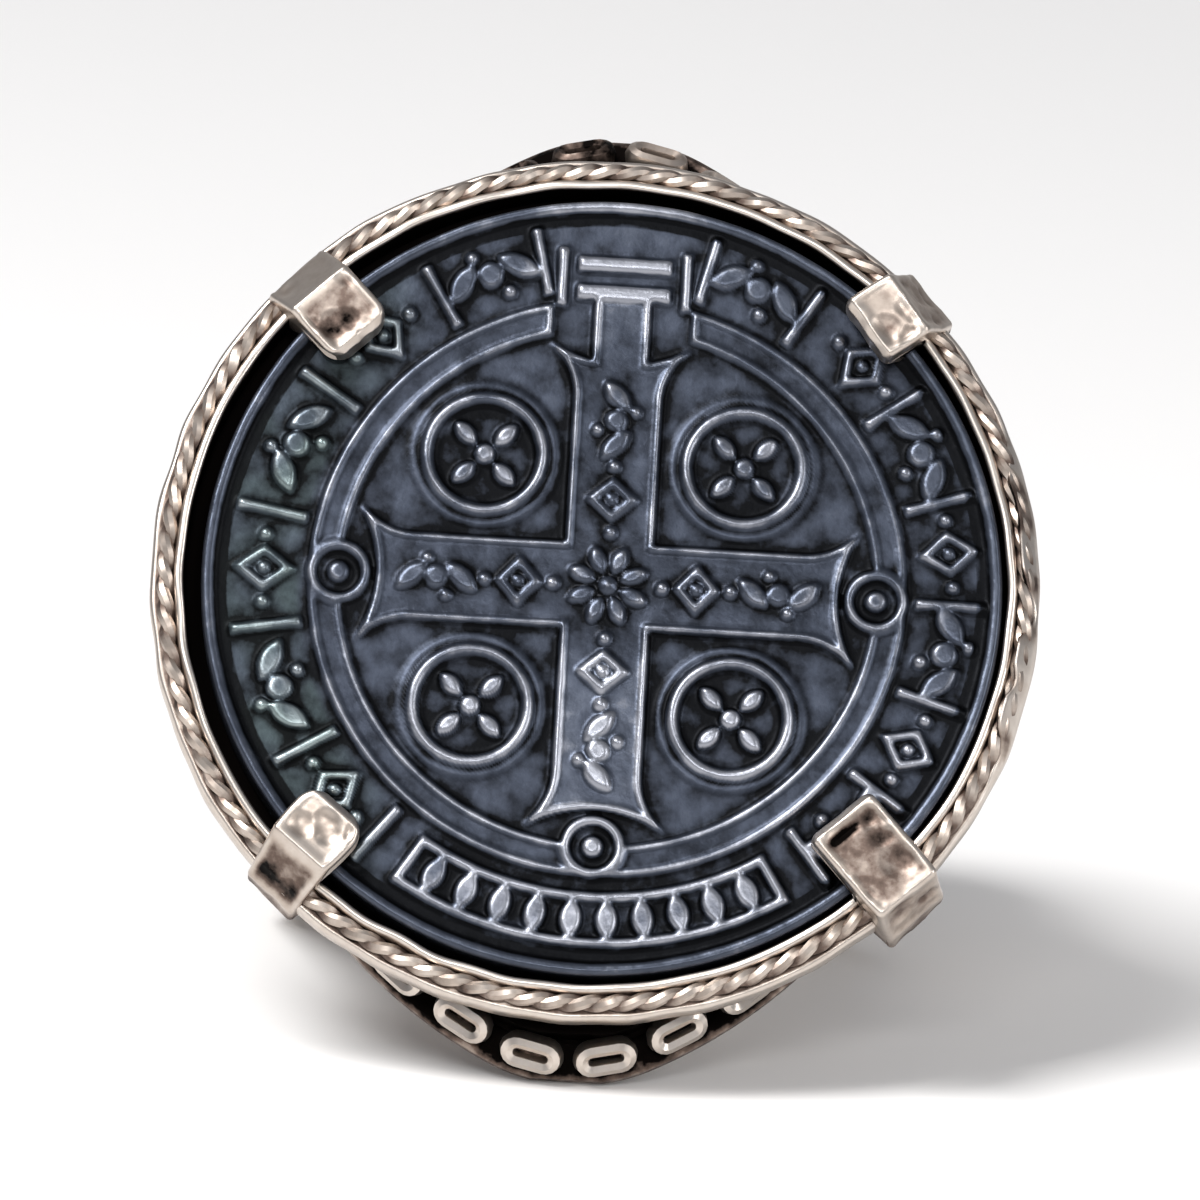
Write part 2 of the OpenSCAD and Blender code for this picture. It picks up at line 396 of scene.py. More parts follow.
def add_node(
    tree: Tree,
    kind: str,
    settings: dict[str, object] | None = None,
    inputs: dict[str | int, object] | None = None,
) -> Node:
    """Adds a node to a tree.

    Args:
        tree: a material's, world's or geometry's tree.
        kind: the node's type.
        settings: the node's own properties.
        inputs: by name or number, a value for each input, or what is linked to it: another
            node's output, a node for its first output, or a list of these to be joined.

    Returns:
        The new node.
    """
    node = tree.nodes.new(kind)
    for name, value in (settings or {}).items():
        setattr(node, name, value)
    for name, value in (inputs or {}).items():
        for source in value if isinstance(value, list) else [value]:
            if isinstance(source, Node):
                source = source.outputs[0]
            if isinstance(source, Socket):
                tree.links.new(source, node.inputs[name])
            else:
                node.inputs[name].default_value = source
    return node


def start_geometry(name: str, given: dict[str, str]) -> tuple[Tree, Node]:
    """Starts a geometry node tree.

    Args:
        name: the tree's name.
        given: the kind of each of its inputs, by name.

    Returns:
        The tree, and the node that holds its inputs.
    """
    tree = bpy.data.node_groups.new(name, "GeometryNodeTree")
    for socket, kind in given.items():
        tree.interface.new_socket(socket, in_out="INPUT", socket_type="NodeSocket" + kind)
    tree.interface.new_socket("Mesh", in_out="OUTPUT", socket_type="NodeSocketGeometry")
    return tree, add_node(tree, "NodeGroupInput")


def end_geometry(tree: Tree, mesh: Node, material: Socket) -> Tree:
    """Ends a geometry node tree by giving its mesh a material.

    Args:
        tree: the tree.
        mesh: the node that gives the finished mesh.
        material: the tree's input for the material.

    Returns:
        The tree.
    """
    dressed = add_node(
        tree, "GeometryNodeSetMaterial", inputs={"Geometry": mesh, "Material": material}
    )
    add_node(tree, "NodeGroupOutput", inputs={"Mesh": dressed})
    return tree


def grow(
    name: str,
    seed_mesh: bpy.types.Mesh,
    tree: Tree,
    inputs: dict[str, object],
    ring: RingFrame,
) -> Piece:
    """Runs a geometry node tree on a mesh and keeps the result as a plain piece.

    Args:
        name: the piece's name.
        seed_mesh: what the tree starts from, in ring millimetres.
        tree: the tree.
        inputs: values for its named inputs.
        ring: the ring's directions.

    Returns:
        The piece, in the model's metres.
    """
    carrier = bpy.data.objects.new(name + "_seed", seed_mesh)
    bpy.context.scene.collection.objects.link(carrier)
    modifier = carrier.modifiers.new("nodes", "NODES")
    modifier.node_group = tree
    for item in tree.interface.items_tree:
        if item.in_out == "INPUT" and item.name in inputs:
            modifier[item.identifier] = inputs[item.name]
    evaluated = carrier.evaluated_get(bpy.context.evaluated_depsgraph_get())
    mesh = bpy.data.meshes.new_from_object(evaluated)
    mesh.name = name
    carrier.modifiers.remove(modifier)
    bpy.data.objects.remove(carrier)
    bpy.data.meshes.remove(seed_mesh)
    mesh.transform(ring.matrix())
    return place_piece(mesh)


def start_material(name: str) -> Material:
    """Makes a material whose node tree is still empty.

    Args:
        name: the material's name.

    Returns:
        The material.
    """
    material = bpy.data.materials.new(name)
    material.use_nodes = True
    material.node_tree.nodes.clear()
    return material


def end_material(material: Material, inputs: dict[str, object]) -> Material:
    """Ends a material in a shader.

    Args:
        material: the material, with its other nodes in place.
        inputs: the shader's inputs, by name.

    Returns:
        The material.
    """
    tree = material.node_tree
    shader = add_node(tree, "ShaderNodeBsdfPrincipled", inputs=inputs)
    add_node(tree, "ShaderNodeOutputMaterial", inputs={"Surface": shader})
    return material


def ranges(value: Node | Socket, given: Pair, wanted: Pair) -> dict[str, object]:
    """The inputs that turn one range of values into another."""
    names = ("Value", "From Min", "From Max", "To Min", "To Max")
    return dict(zip(names, (value, *given, *wanted)))


def patches(place: Socket, size_mm: float, detail: float) -> dict[str, object]:
    """The inputs of noise whose patches are about size_mm across on the object."""
    scale = 1 / (size_mm * MM)
    return {"Vector": place, "Scale": scale, "Detail": detail, "Roughness": 0.55}


def set_stops(ramp: Node, stops: tuple[tuple[float, str], ...]) -> None:
    """Puts colours at their places on a colour ramp.

    Args:
        ramp: the ramp's node.
        stops: places from 0 to 1 in order, each with its sRGB hex colour.
    """
    elements = ramp.color_ramp.elements
    while len(elements) < len(stops):
        elements.new(1.0)
    for element, (position, code) in zip(elements, stops):
        element.position = position
        element.color = hex_to_linear(code)


@dataclass
class ReliefMap:
    """Heights over the medallion's field, drawn on a fine square grid.

    Args:
        half: how far the grid reaches from the middle.
        cell: distance between its points.
    """

    half: float = 11.6
    cell: float = 0.02
    axis: Array = field(init=False, repr=False)
    height: Array = field(init=False, repr=False)

    def __post_init__(self) -> None:
        """Lays out the empty grid."""
        count = 2 * round(self.half / self.cell) + 1
        self.axis = np.linspace(-self.half, self.half, count)
        self.height = np.zeros((count, count))

    def lift(
        self,
        spot: Pair,
        turn: float,
        reach: float,
        shape: Distance,
        level: float,
        slope: float = 0.08,
        added: bool = False,
    ) -> None:
        """Raises the field to a level where a shape lies.

        Args:
            spot: the shape's middle.
            turn: its turn in degrees.
            reach: how far the shape goes from its middle.
            shape: distance outside the shape's edge, from its own x and y.
            level: the height that it gets.
            slope: width of the slope at its edge.
            added: whether the level is added to what is there, and doesn't replace it.
        """
        rows, columns = (
            slice(*np.searchsorted(self.axis, (at - reach, at + reach)))
            for at in (spot[1], spot[0])
        )
        x, y = np.meshgrid(self.axis[columns] - spot[0], self.axis[rows] - spot[1])
        step = np.clip(0.5 - shape(*turned(x, y, turn)) / slope, 0.0, 1.0)
        part = self.height[rows, columns]
        if added:
            part += level * step
        else:
            np.maximum(part, level * step, out=part)

    def blurred(self, values: Array, radius: float) -> Array:
        """Smooths values on the grid.

        Args:
            values: one value for each point of the grid.
            radius: how far the smoothing reaches, in millimetres.

        Returns:
            The smoothed values.
        """
        wave = np.fft.rfftfreq(len(self.axis), self.cell)
        wave_down = np.fft.fftfreq(len(self.axis), self.cell)
        square = wave[None, :] ** 2 + wave_down[:, None] ** 2
        soft = np.exp(-2 * (math.pi * radius) ** 2 * square)
        return np.fft.irfft2(np.fft.rfft2(values) * soft, s=values.shape)

    def grain(self, radius: float, seed: int) -> Array:
        """Makes smooth random values on the grid.

        Args:
            radius: radius of their patches.
            seed: which of the random patterns it is.

        Returns:
            Values of about -1 to 1.
        """
        rng = np.random.default_rng(seed)
        values = self.blurred(rng.normal(size=self.height.shape), radius)
        return values / (2 * values.std())

    def at(self, values: Array, x: Array, y: Array) -> Array:
        """Reads values on the grid between its points.

        Args:
            values: one value for each point of the grid.
            x: the places' x from the middle.
            y: their y.

        Returns:
            The value at each place.
        """
        column = np.clip((x + self.half) / self.cell, 0, len(self.axis) - 1.001)
        row = np.clip((y + self.half) / self.cell, 0, len(self.axis) - 1.001)
        i = row.astype(int)
        j = column.astype(int)
        v = row - i
        u = column - j
        low = values[i, j] * (1 - u) + values[i, j + 1] * u
        high = values[i + 1, j] * (1 - u) + values[i + 1, j + 1] * u
        return low * (1 - v) + high * v


def disc(x: Array, y: Array, r: float) -> Array:
    """Distance outside a disc."""
    return np.hypot(x, y) - r


def bar(x: Array, y: Array, half_l: float, half_w: float) -> Array:
    """Distance outside a bar along x.

    Args:
        x: the places' x from the bar's middle.
        y: their y.
        half_l: half its length.
        half_w: half its width.

    Returns:
        The distance, below 0 inside the bar.
    """
    over_x = np.abs(x) - half_l
    over_y = np.abs(y) - half_w
    outside = np.hypot(np.maximum(over_x, 0), np.maximum(over_y, 0))
    return outside + np.minimum(np.maximum(over_x, over_y), 0)


def lozenge(x: Array, y: Array, half_l: float, half_w: float) -> Array:
    """Distance outside a lozenge."""
    parts = np.abs(x) / half_l + np.abs(y) / half_w
    return (parts - 1) * half_l * half_w / math.hypot(half_l, half_w)


def leaf(x: Array, y: Array, half_l: float, half_w: float) -> Array:
    """Distance outside a leaf along x, pointed at both ends."""
    bow = (half_l**2 - half_w**2) / (2 * half_w)
    return np.hypot(x, np.abs(y) + bow) - (half_w + bow)


def outline(distance: Array, width: float) -> Array:
    """Distance outside a line that runs just inside a shape's edge."""
    return np.abs(distance + width / 2) - width / 2


def turned(x: Array, y: Array, degrees: float) -> tuple[Array, Array]:
    """Turns the directions in which places are measured.

    Args:
        x: the places' x.
        y: their y.
        degrees: the turn.

    Returns:
        Their x and y in the turned directions.
    """
    c = math.cos(math.radians(degrees))
    s = math.sin(math.radians(degrees))
    return x * c + y * s, y * c - x * s


def petals(x: Array, y: Array, r: float, count: int) -> Array:
    """Distance outside a rosette: a bead in a ring of leaf-shaped petals.

    Args:
        x: the places' x from the rosette's middle.
        y: their y.
        r: its radius.
        count: how many petals it has.

    Returns:
        The distance, below 0 inside the rosette.
    """
    step = 2 * math.pi / count
    angle = np.arctan2(y, x)
    angle = angle - step * np.round(angle / step - 0.5) - step / 2
    from_mid = np.hypot(x, y)
    along = from_mid * np.cos(angle) - 0.66 * r
    petal = leaf(along, from_mid * np.sin(angle), 0.36 * r, 0.2 * r)
    return np.minimum(petal, disc(x, y, 0.24 * r))


def leaf_pair(x: Array, y: Array, length: float) -> Array:
    """Distance outside a bead between two slanted leaves, along y, each with a bud by it.

    Args:
        x: the places' x from the bead's middle.
        y: their y.
        length: length of the whole ornament.

    Returns:
        The distance, below 0 inside the bead, a leaf or a bud.
    """
    found = disc(x, y, 0.16 * length)
    for way in (-1, 1):
        u, v = turned(x, y - way * 0.35 * length, 90 + way * 42)
        found = np.minimum(found, leaf(u, v, 0.28 * length, 0.135 * length))
        bud = disc(x - way * 0.26 * length, y - way * 0.14 * length, 0.075 * length)
        found = np.minimum(found, bud)
    return found


def framed_lozenge(x: Array, y: Array, half_l: float, half_w: float) -> Array:
    """Distance outside a lozenge of one line, with a bead in it and one at each side.

    Args:
        x: the places' x from the lozenge's middle.
        y: their y.
        half_l: half its length.
        half_w: half its width.

    Returns:
        The distance, below 0 inside the line or a bead.
    """
    found = outline(lozenge(x, y, half_l, half_w), 0.25)
    found = np.minimum(found, disc(x, y, 0.19))
    return np.minimum(found, disc(x, np.abs(y) - half_w - 0.3, 0.17))


@dataclass
class Medallion:
    """The cast medallion: a cross with roundels in an inner ring, and an ornamented margin.

    Angles are degrees from x towards the fingertip, and heights are over the sunk field. A
    pair is half an ornament's length and half its width. The disc lies off the middle of its
    seat by slip, and its pattern stands off its own middle by pattern_off. Wear takes up to
    worn_share off the relief, in patches of worn_mm, and softened_mm rounds its edges.
    """

    levels: Levels = Levels()
    r: float = 11.25
    slip: Pair = (0.181, -0.085)
    pattern_off: float = 0.15
    cells: int = 304
    edge_fall: float = 0.3
    side_drop: float = 0.55
    relief: float = 0.25
    worn_share: float = 0.16
    worn_mm: float = 1.4
    softened_mm: float = 0.05
    line_w: float = 0.3
    edge_line_w: float = 0.2
    bar_w: float = 0.28
    field_r: float = 7.5
    inner_ring_r: float = 8.4
    margin_r: float = 10.9
    rim_r: float = 11.2
    ring_h: float = 0.2
    ring_sunk: float = 0.1
    cross_h: float = 0.23
    cross_sunk: float = 0.07
    cross_line_up: float = 0.03
    arm_w: float = 2.5
    arm_reach: float = 7.0
    flare_w: float = 3.9
    flare_l: float = 1.2
    hollow: float = 0.5
    neck_w: float = 1.6
    on_arm_h: float = 0.17
    rosette_r: float = 1.15
    arm_lozenge_at: float = 2.5
    arm_lozenge: Pair = (0.74, 0.66)
    arm_leaves_at: float = 4.8
    arm_leaves_l: float = 2.0
    roundel_at: float = 3.65
    roundel_r: float = 2.0
    roundel_rosette_r: float = 1.22
    stop_angles: tuple[float, ...] = (180, 270, 0)
    stop_at: float = 7.55
    stop_r: float = 0.9
    stop_bead_r: float = 0.3
    panel_at: float = 9.65
    panel_half_w: float = 0.8
    panel_half_angle: float = 32.5
    bead_angles: range = range(-27, 28, 6)
    bead: Pair = (0.62, 0.32)
    frame_y: float = 8.97
    frame_bar: Pair = (1.325, 0.21)
    frame_bar_off: float = 0.41
    frame_post_half: float = 0.85
    frame_post_off: float = 1.75
    margin_lozenge: Pair = (0.88, 0.68)
    margin_leaves_l: float = 2.4
    dividers: tuple[float, ...] = (
        (0, 18, 36, 58, 76, 104, 122, 147) + (170, 190, 212, 231, 309, 325, 343)
    )
    margin: tuple[tuple[Motif, tuple[float, ...]], ...] = (
        (Motif.LOZENGE, (9, 45, 134, 180, 221, 334)),
        (Motif.LEAVES, (27, 67, 113, 158, 201, 317, 351.5)),
    )

    def arm(self, x: Array, y: Array) -> Array:
        """Distance outside one arm along y, with its flared and hollowed end.

        Args:
            x: the places' x from the middle of the cross.
            y: their y.

        Returns:
            The distance, below 0 inside the arm.
        """
        flare_from = self.arm_reach - self.flare_l - 0.4
        part = np.clip((y - flare_from) / (self.arm_reach - flare_from), 0, 1.2)
        half = self.arm_w / 2 + (self.flare_w - self.arm_w) / 2 * part**2.2
        sunk = self.hollow * (1 - np.clip(np.abs(x) / (self.flare_w / 2), 0, 1) ** 2)
        end = y - self.arm_reach + sunk
        return np.maximum(np.maximum(np.abs(x) - half, end), -y - 0.1)

    def cross(self, x: Array, y: Array) -> Array:
        """Distance outside the cross, whose arm towards the fingertip runs on as a neck.

        Args:
            x: the places' x from the middle of the cross.
            y: their y.

        Returns:
            The distance, below 0 inside the cross.
        """
        found = self.arm(x, y)
        for quarter in (90, 180, 270):
            found = np.minimum(found, self.arm(*turned(x, y, quarter)))
        neck_mid = self.inner_ring_r / 2
        neck = bar(x, y - neck_mid, self.neck_w / 2, neck_mid + 0.1)
        return np.minimum(found, neck)

    def band_of_ring(self, x: Array, y: Array) -> Array:
        """Distance outside the inner ring, cut where the cross and its stops meet it.

        Args:
            x: the places' x from the middle of the cross.
            y: their y.

        Returns:
            The distance, below 0 inside the ring.
        """
        mid = (self.field_r + self.inner_ring_r) / 2
        found = np.abs(np.hypot(x, y) - mid) - (self.inner_ring_r - self.field_r) / 2
        found = np.maximum(found, -np.maximum(np.abs(x) - self.flare_w / 2, -y))
        for angle in self.stop_angles:
            u, v = turned(x, y, angle)
            found = np.maximum(found, -disc(u - self.stop_at, v, self.stop_r - 0.1))
        return found

    def panel(self, x: Array, y: Array) -> Array:
        """Distance outside the curved frame of the panel at the wrist side.

        Args:
            x: the places' x from the middle of the cross.
            y: their y.

        Returns:
            The distance, below 0 inside the frame's line.
        """
        off_mid = np.degrees(np.arctan2(x, -y))
        from_mid = np.hypot(x, y)
        radial = np.abs(from_mid - self.panel_at) - self.panel_half_w
        around = (np.abs(off_mid) - self.panel_half_angle) * math.pi / 180 * from_mid
        return outline(np.maximum(radial, around), self.bar_w)

    def place(self, angle: float, r: float) -> Pair:
        """The point at an angle in degrees and a distance from the middle of the pattern."""
        turn = math.radians(angle)
        return (self.pattern_off + r * math.cos(turn), r * math.sin(turn))

    def draw(self) -> ReliefMap:
        """Draws the whole relief, then softens it as it is cast and worn.

        Returns:
            The relief.
        """
        drawn = ReliefMap()
        middle = (self.pattern_off, 0.0)
        whole = drawn.half
        ring_line = lambda x, y: outline(self.band_of_ring(x, y), self.edge_line_w)
        cross_line = lambda x, y: outline(self.cross(x, y), self.edge_line_w)
        for shape, level in (
            (self.band_of_ring, self.ring_h - self.ring_sunk),
            (ring_line, self.ring_h),
            (self.cross, self.cross_h - self.cross_sunk),
            (cross_line, self.cross_h + self.cross_line_up),
            (self.panel, self.relief),
        ):
            drawn.lift(middle, 0, whole, shape, level)
        for angle in (45, 135, 225, 315):
            self.draw_roundel(drawn, self.place(angle, self.roundel_at * math.sqrt(2)))
        for angle in self.stop_angles:
            self.draw_stop(drawn, self.place(angle, self.stop_at))
        self.draw_margin(drawn)
        self.draw_arms(drawn)
        rim = lambda x, y: -disc(x, y, self.margin_r)
        drawn.lift((0.0, 0.0), 0, whole, rim, self.relief, slope=0.12)
        worn = drawn.height * (0.9 + self.worn_share * drawn.grain(self.worn_mm, seed=3))
        drawn.height = drawn.blurred(worn, self.softened_mm)
        return drawn

    def draw_roundel(self, drawn: ReliefMap, spot: Pair) -> None:
        """Draws a faint ring line, and a bold one in it round a rosette.

        Args:
            drawn: the relief, which this changes.
            spot: the roundel's middle.
        """
        faint = lambda x, y: outline(disc(x, y, self.roundel_r + 0.08), self.line_w * 0.6)
        bold = lambda x, y: outline(disc(x, y, self.roundel_r - 0.2), self.line_w * 1.1)
        rosette = lambda x, y: petals(x, y, self.roundel_rosette_r, 4)
        drawn.lift(spot, 0, 2.4, faint, self.relief * 0.5, slope=0.22)
        drawn.lift(spot, 0, 2.4, bold, self.relief + 0.02, slope=0.18)
        drawn.lift(spot, 0, 1.4, rosette, self.relief)

    def draw_stop(self, drawn: ReliefMap, spot: Pair) -> None:
        """Draws a small ring that stands on the inner ring, with a bead in it.

        Args:
            drawn: the relief, which this changes.
            spot: the small ring's middle.
        """
        line = lambda x, y: outline(disc(x, y, self.stop_r), self.line_w * 0.9)
        bead = lambda x, y: disc(x, y, self.stop_bead_r)
        drawn.lift(spot, 0, 1.3, line, self.relief)
        drawn.lift(spot, 0, 0.8, bead, self.relief)

    def draw_margin(self, drawn: ReliefMap) -> None:
        """Draws the dividers and ornaments of the margin, the panel's beads and the top frame.

        Args:
            drawn: the relief, which this changes.
        """
        mid = (self.inner_ring_r + self.margin_r) / 2
        half_l = (self.margin_r - self.inner_ring_r - 0.5) / 2
        divider = lambda x, y: bar(x, y, half_l, self.bar_w / 2)
        bead = lambda x, y: leaf(x, y, *self.bead)
        frame_bar = lambda x, y: bar(x, y, *self.frame_bar)
        post = lambda x, y: bar(x, y, self.bar_w / 2, self.frame_post_half)
        motifs = {
            Motif.LOZENGE: lambda x, y: framed_lozenge(x, y, *self.margin_lozenge),
            Motif.LEAVES: lambda x, y: leaf_pair(x, y, self.margin_leaves_l),
        }
        for angle in self.dividers:
            drawn.lift(self.place(angle, mid), angle, 1.4, divider, self.relief)
        for motif, angles in self.margin:
            for angle in angles:
                drawn.lift(self.place(angle, mid), angle, 1.6, motifs[motif], self.relief)
        for off in self.bead_angles:
            drawn.lift(self.place(270 + off, self.panel_at), 270 + off, 0.7, bead, self.relief)
        for way in (-1, 1):
            bar_at = (self.pattern_off, self.frame_y + way * self.frame_bar_off)
            post_at = (self.pattern_off + way * self.frame_post_off, self.frame_y)
            drawn.lift(bar_at, 0, 1.6, frame_bar, self.relief)
            drawn.lift(post_at, 0, 1.2, post, self.relief)

    def draw_arms(self, drawn: ReliefMap) -> None:
        """Draws the rosette in the middle of the cross and the ornaments along its arms.

        Args:
            drawn: the relief, which this changes.
        """
        rosette = lambda x, y: petals(x, y, self.rosette_r, 8)
        framed = lambda x, y: framed_lozenge(y, x, *self.arm_lozenge)
        leaves = lambda x, y: leaf_pair(x, y, self.arm_leaves_l)
        drawn.lift(self.place(0, 0), 0, 1.3, rosette, self.on_arm_h, added=True)
        for angle in (90, 180, 270, 0):
            near = self.place(angle, self.arm_lozenge_at)
            far = self.place(angle, self.arm_leaves_at)
            drawn.lift(near, angle, 1.3, framed, self.on_arm_h, added=True)
            drawn.lift(far, angle - 90, 1.5, leaves, self.on_arm_h, added=True)

    def disc_points(self) -> tuple[Array, Array, Array]:
        """Spreads a square grid of points evenly over the disc.

        Returns:
            Their x and y, and the numbers of the points on the edge, in order round it.
        """
        count = self.cells + 1
        side = np.linspace(-1, 1, count)
        a, b = np.meshgrid(side, side, indexing="ij")
        wide = np.abs(a) > np.abs(b)
        reach = np.where(wide, a, b)
        safe = np.where(reach == 0, 1.0, reach)
        angle = np.where(wide, math.pi / 4 * b / safe, math.pi / 2 - math.pi / 4 * a / safe)
        x = (self.r * reach * np.cos(angle)).ravel()
        y = (self.r * reach * np.sin(angle)).ravel()
        number = np.arange(count * count).reshape(count, count)
        edges = [number[:-1, 0], number[-1, :-1], number[:0:-1, -1], number[0, :0:-1]]
        return x, y, np.concatenate(edges)

    @staticmethod
    def polish(x: Array, y: Array) -> Array:
        """Finds where worn metal and a painted sheen show: the cross's foot and top, the top bars
        and the lower half.

        Args:
            x: the points' places across the finger.
            y: their places along it.

        Returns:
            How much worn metal and painted sheen there is at each point, from 0 up.
        """
        middle = 1 - smooth_step(np.abs(x), 1.2, 2.4)
        foot = smooth_step(-y, 1.6, 2.6) * (1 - smooth_step(-y, 6.8, 8.4))
        top = (1 - smooth_step(np.abs(x), 1.6, 3.0)) * smooth_step(y, 6.6, 8.2)
        low = 0.6 * smooth_step(-y, 1.6, 4.2) * (1 - smooth_step(np.hypot(x, y), 10.2, 10.8))
        bars = 0.5 * smooth_step(y, 8.0, 8.3) * (1 - smooth_step(y, 9.7, 9.9)) * (np.abs(x) < 1.6)
        return np.maximum(1.15 * middle * foot + top + bars, low)

    def marks(self, drawn: ReliefMap, x: Array, y: Array) -> dict[str, Array]:
        """Works out what the finish reads at points of the face.

        Args:
            drawn: the relief.
            x: the points' places across the finger.
            y: their places along it.

        Returns:
            By name, how deep each point lies beside its surroundings, which the finish paints as
            oxide and painted shade, how high it stands, how much green shows there, and how much
            worn metal and painted sheen there is.
        """
        from_mid = np.hypot(x, y)
        wide = drawn.blurred(drawn.height, 0.3) - drawn.height
        narrow = drawn.blurred(drawn.height, 0.11) - drawn.height
        # Points sunk beside the relief, and the groove inside the rim, go near-black as oxide and
        # painted shade; raised edges come out paler.
        cavity = drawn.at(0.6 * wide + 0.9 * narrow, x, y) / 0.1
        cavity = np.where(cavity > 0, 1.5 * cavity, cavity)
        raised = drawn.at(drawn.height, x, y) / self.relief
        groove = 1 - smooth_step(np.abs(from_mid - self.margin_r + 0.17), 0.07, 0.22)
        at_rim = smooth_step(from_mid, self.margin_r - 0.06, self.margin_r + 0.04)
        # Worn metal and painted sheen reach the raised relief, and a little of the top.
        sheen_and_worn_reach = np.maximum(smooth_step(raised, 0.35, 0.75), 0.4 * smooth_step(y, 6.6, 8.2))
        ring_r = self.inner_ring_r
        left = smooth_step(-x, 5.0, 7.4) * smooth_step(from_mid, ring_r - 0.1, ring_r + 0.3)
        left = left * (1 - smooth_step(from_mid, 10.6, 10.9))
        spots = smooth_step(drawn.at(drawn.grain(0.35, seed=9), x, y), -0.8, 0.8)
        return {
            "cavity": cavity * (1 - at_rim) - 0.45 * at_rim + 1.2 * groove,
            "raised": raised,
            "patina": left * (0.18 + 0.3 * spots),
            # Worn metal and a painted sheen on the cross's foot and top, the top bars and the lower
            # half.
            "polish": self.polish(x, y) * sheen_and_worn_reach * (1 - groove) - 0.5 * groove,
        }

    def build(self, ring: RingFrame) -> Piece:
        """Builds the medallion with its relief in its mesh.

        Args:
            ring: the ring's directions.

        Returns:
            The piece, with the marks that its finish reads: cavity with its painted shade, raised,
            patina, and worn metal with painted sheen.
        """
        drawn = self.draw()
        x, y, edge = self.disc_points()
        uneven = 0.024 * drawn.grain(0.9, seed=5) + 0.012 * drawn.grain(0.2, seed=6)
        fall = smooth_step(np.hypot(x, y), self.rim_r - 0.05, self.r + 0.05) ** 1.5
        high = drawn.at(drawn.height + uneven, x, y) - self.edge_fall * fall
        face = np.stack([x, y, self.levels.face + high], axis=1)
        count = len(edge)
        walls = [
            np.stack([x[edge] * k, y[edge] * k, np.full(count, level)], axis=1)
            for k, level in (
                (1.0, self.levels.face - self.side_drop),
                (1.0, self.levels.medal + 0.1),
                (0.99, self.levels.medal),
            )
        ]
        points = np.concatenate([face, *walls]) + np.array([*self.slip, 0.0])
        faces = grid_faces(self.cells + 1, self.cells + 1, False, False)
        below = [edge] + [len(face) + k * count + np.arange(count) for k in range(len(walls))]
        for upper, lower in zip(below, below[1:]):
            quads = [upper, lower, np.roll(lower, -1), np.roll(upper, -1)]
            faces += np.stack(quads, axis=1).tolist()
        faces.append(below[-1][::-1].tolist())
        # The disc's side walls get a darker value: painted shade in the gap round it.
        on_walls = {"cavity": 0.3, "raised": 0.0, "patina": 0.0, "polish": 0.0}
        marks = {
            name: np.append(values, np.full(len(points) - len(face), on_walls[name]))
            for name, values in self.marks(drawn, x, y).items()
        }
        return make_piece("medallion_cast", ring, points, faces, marks, sharp_over=75)


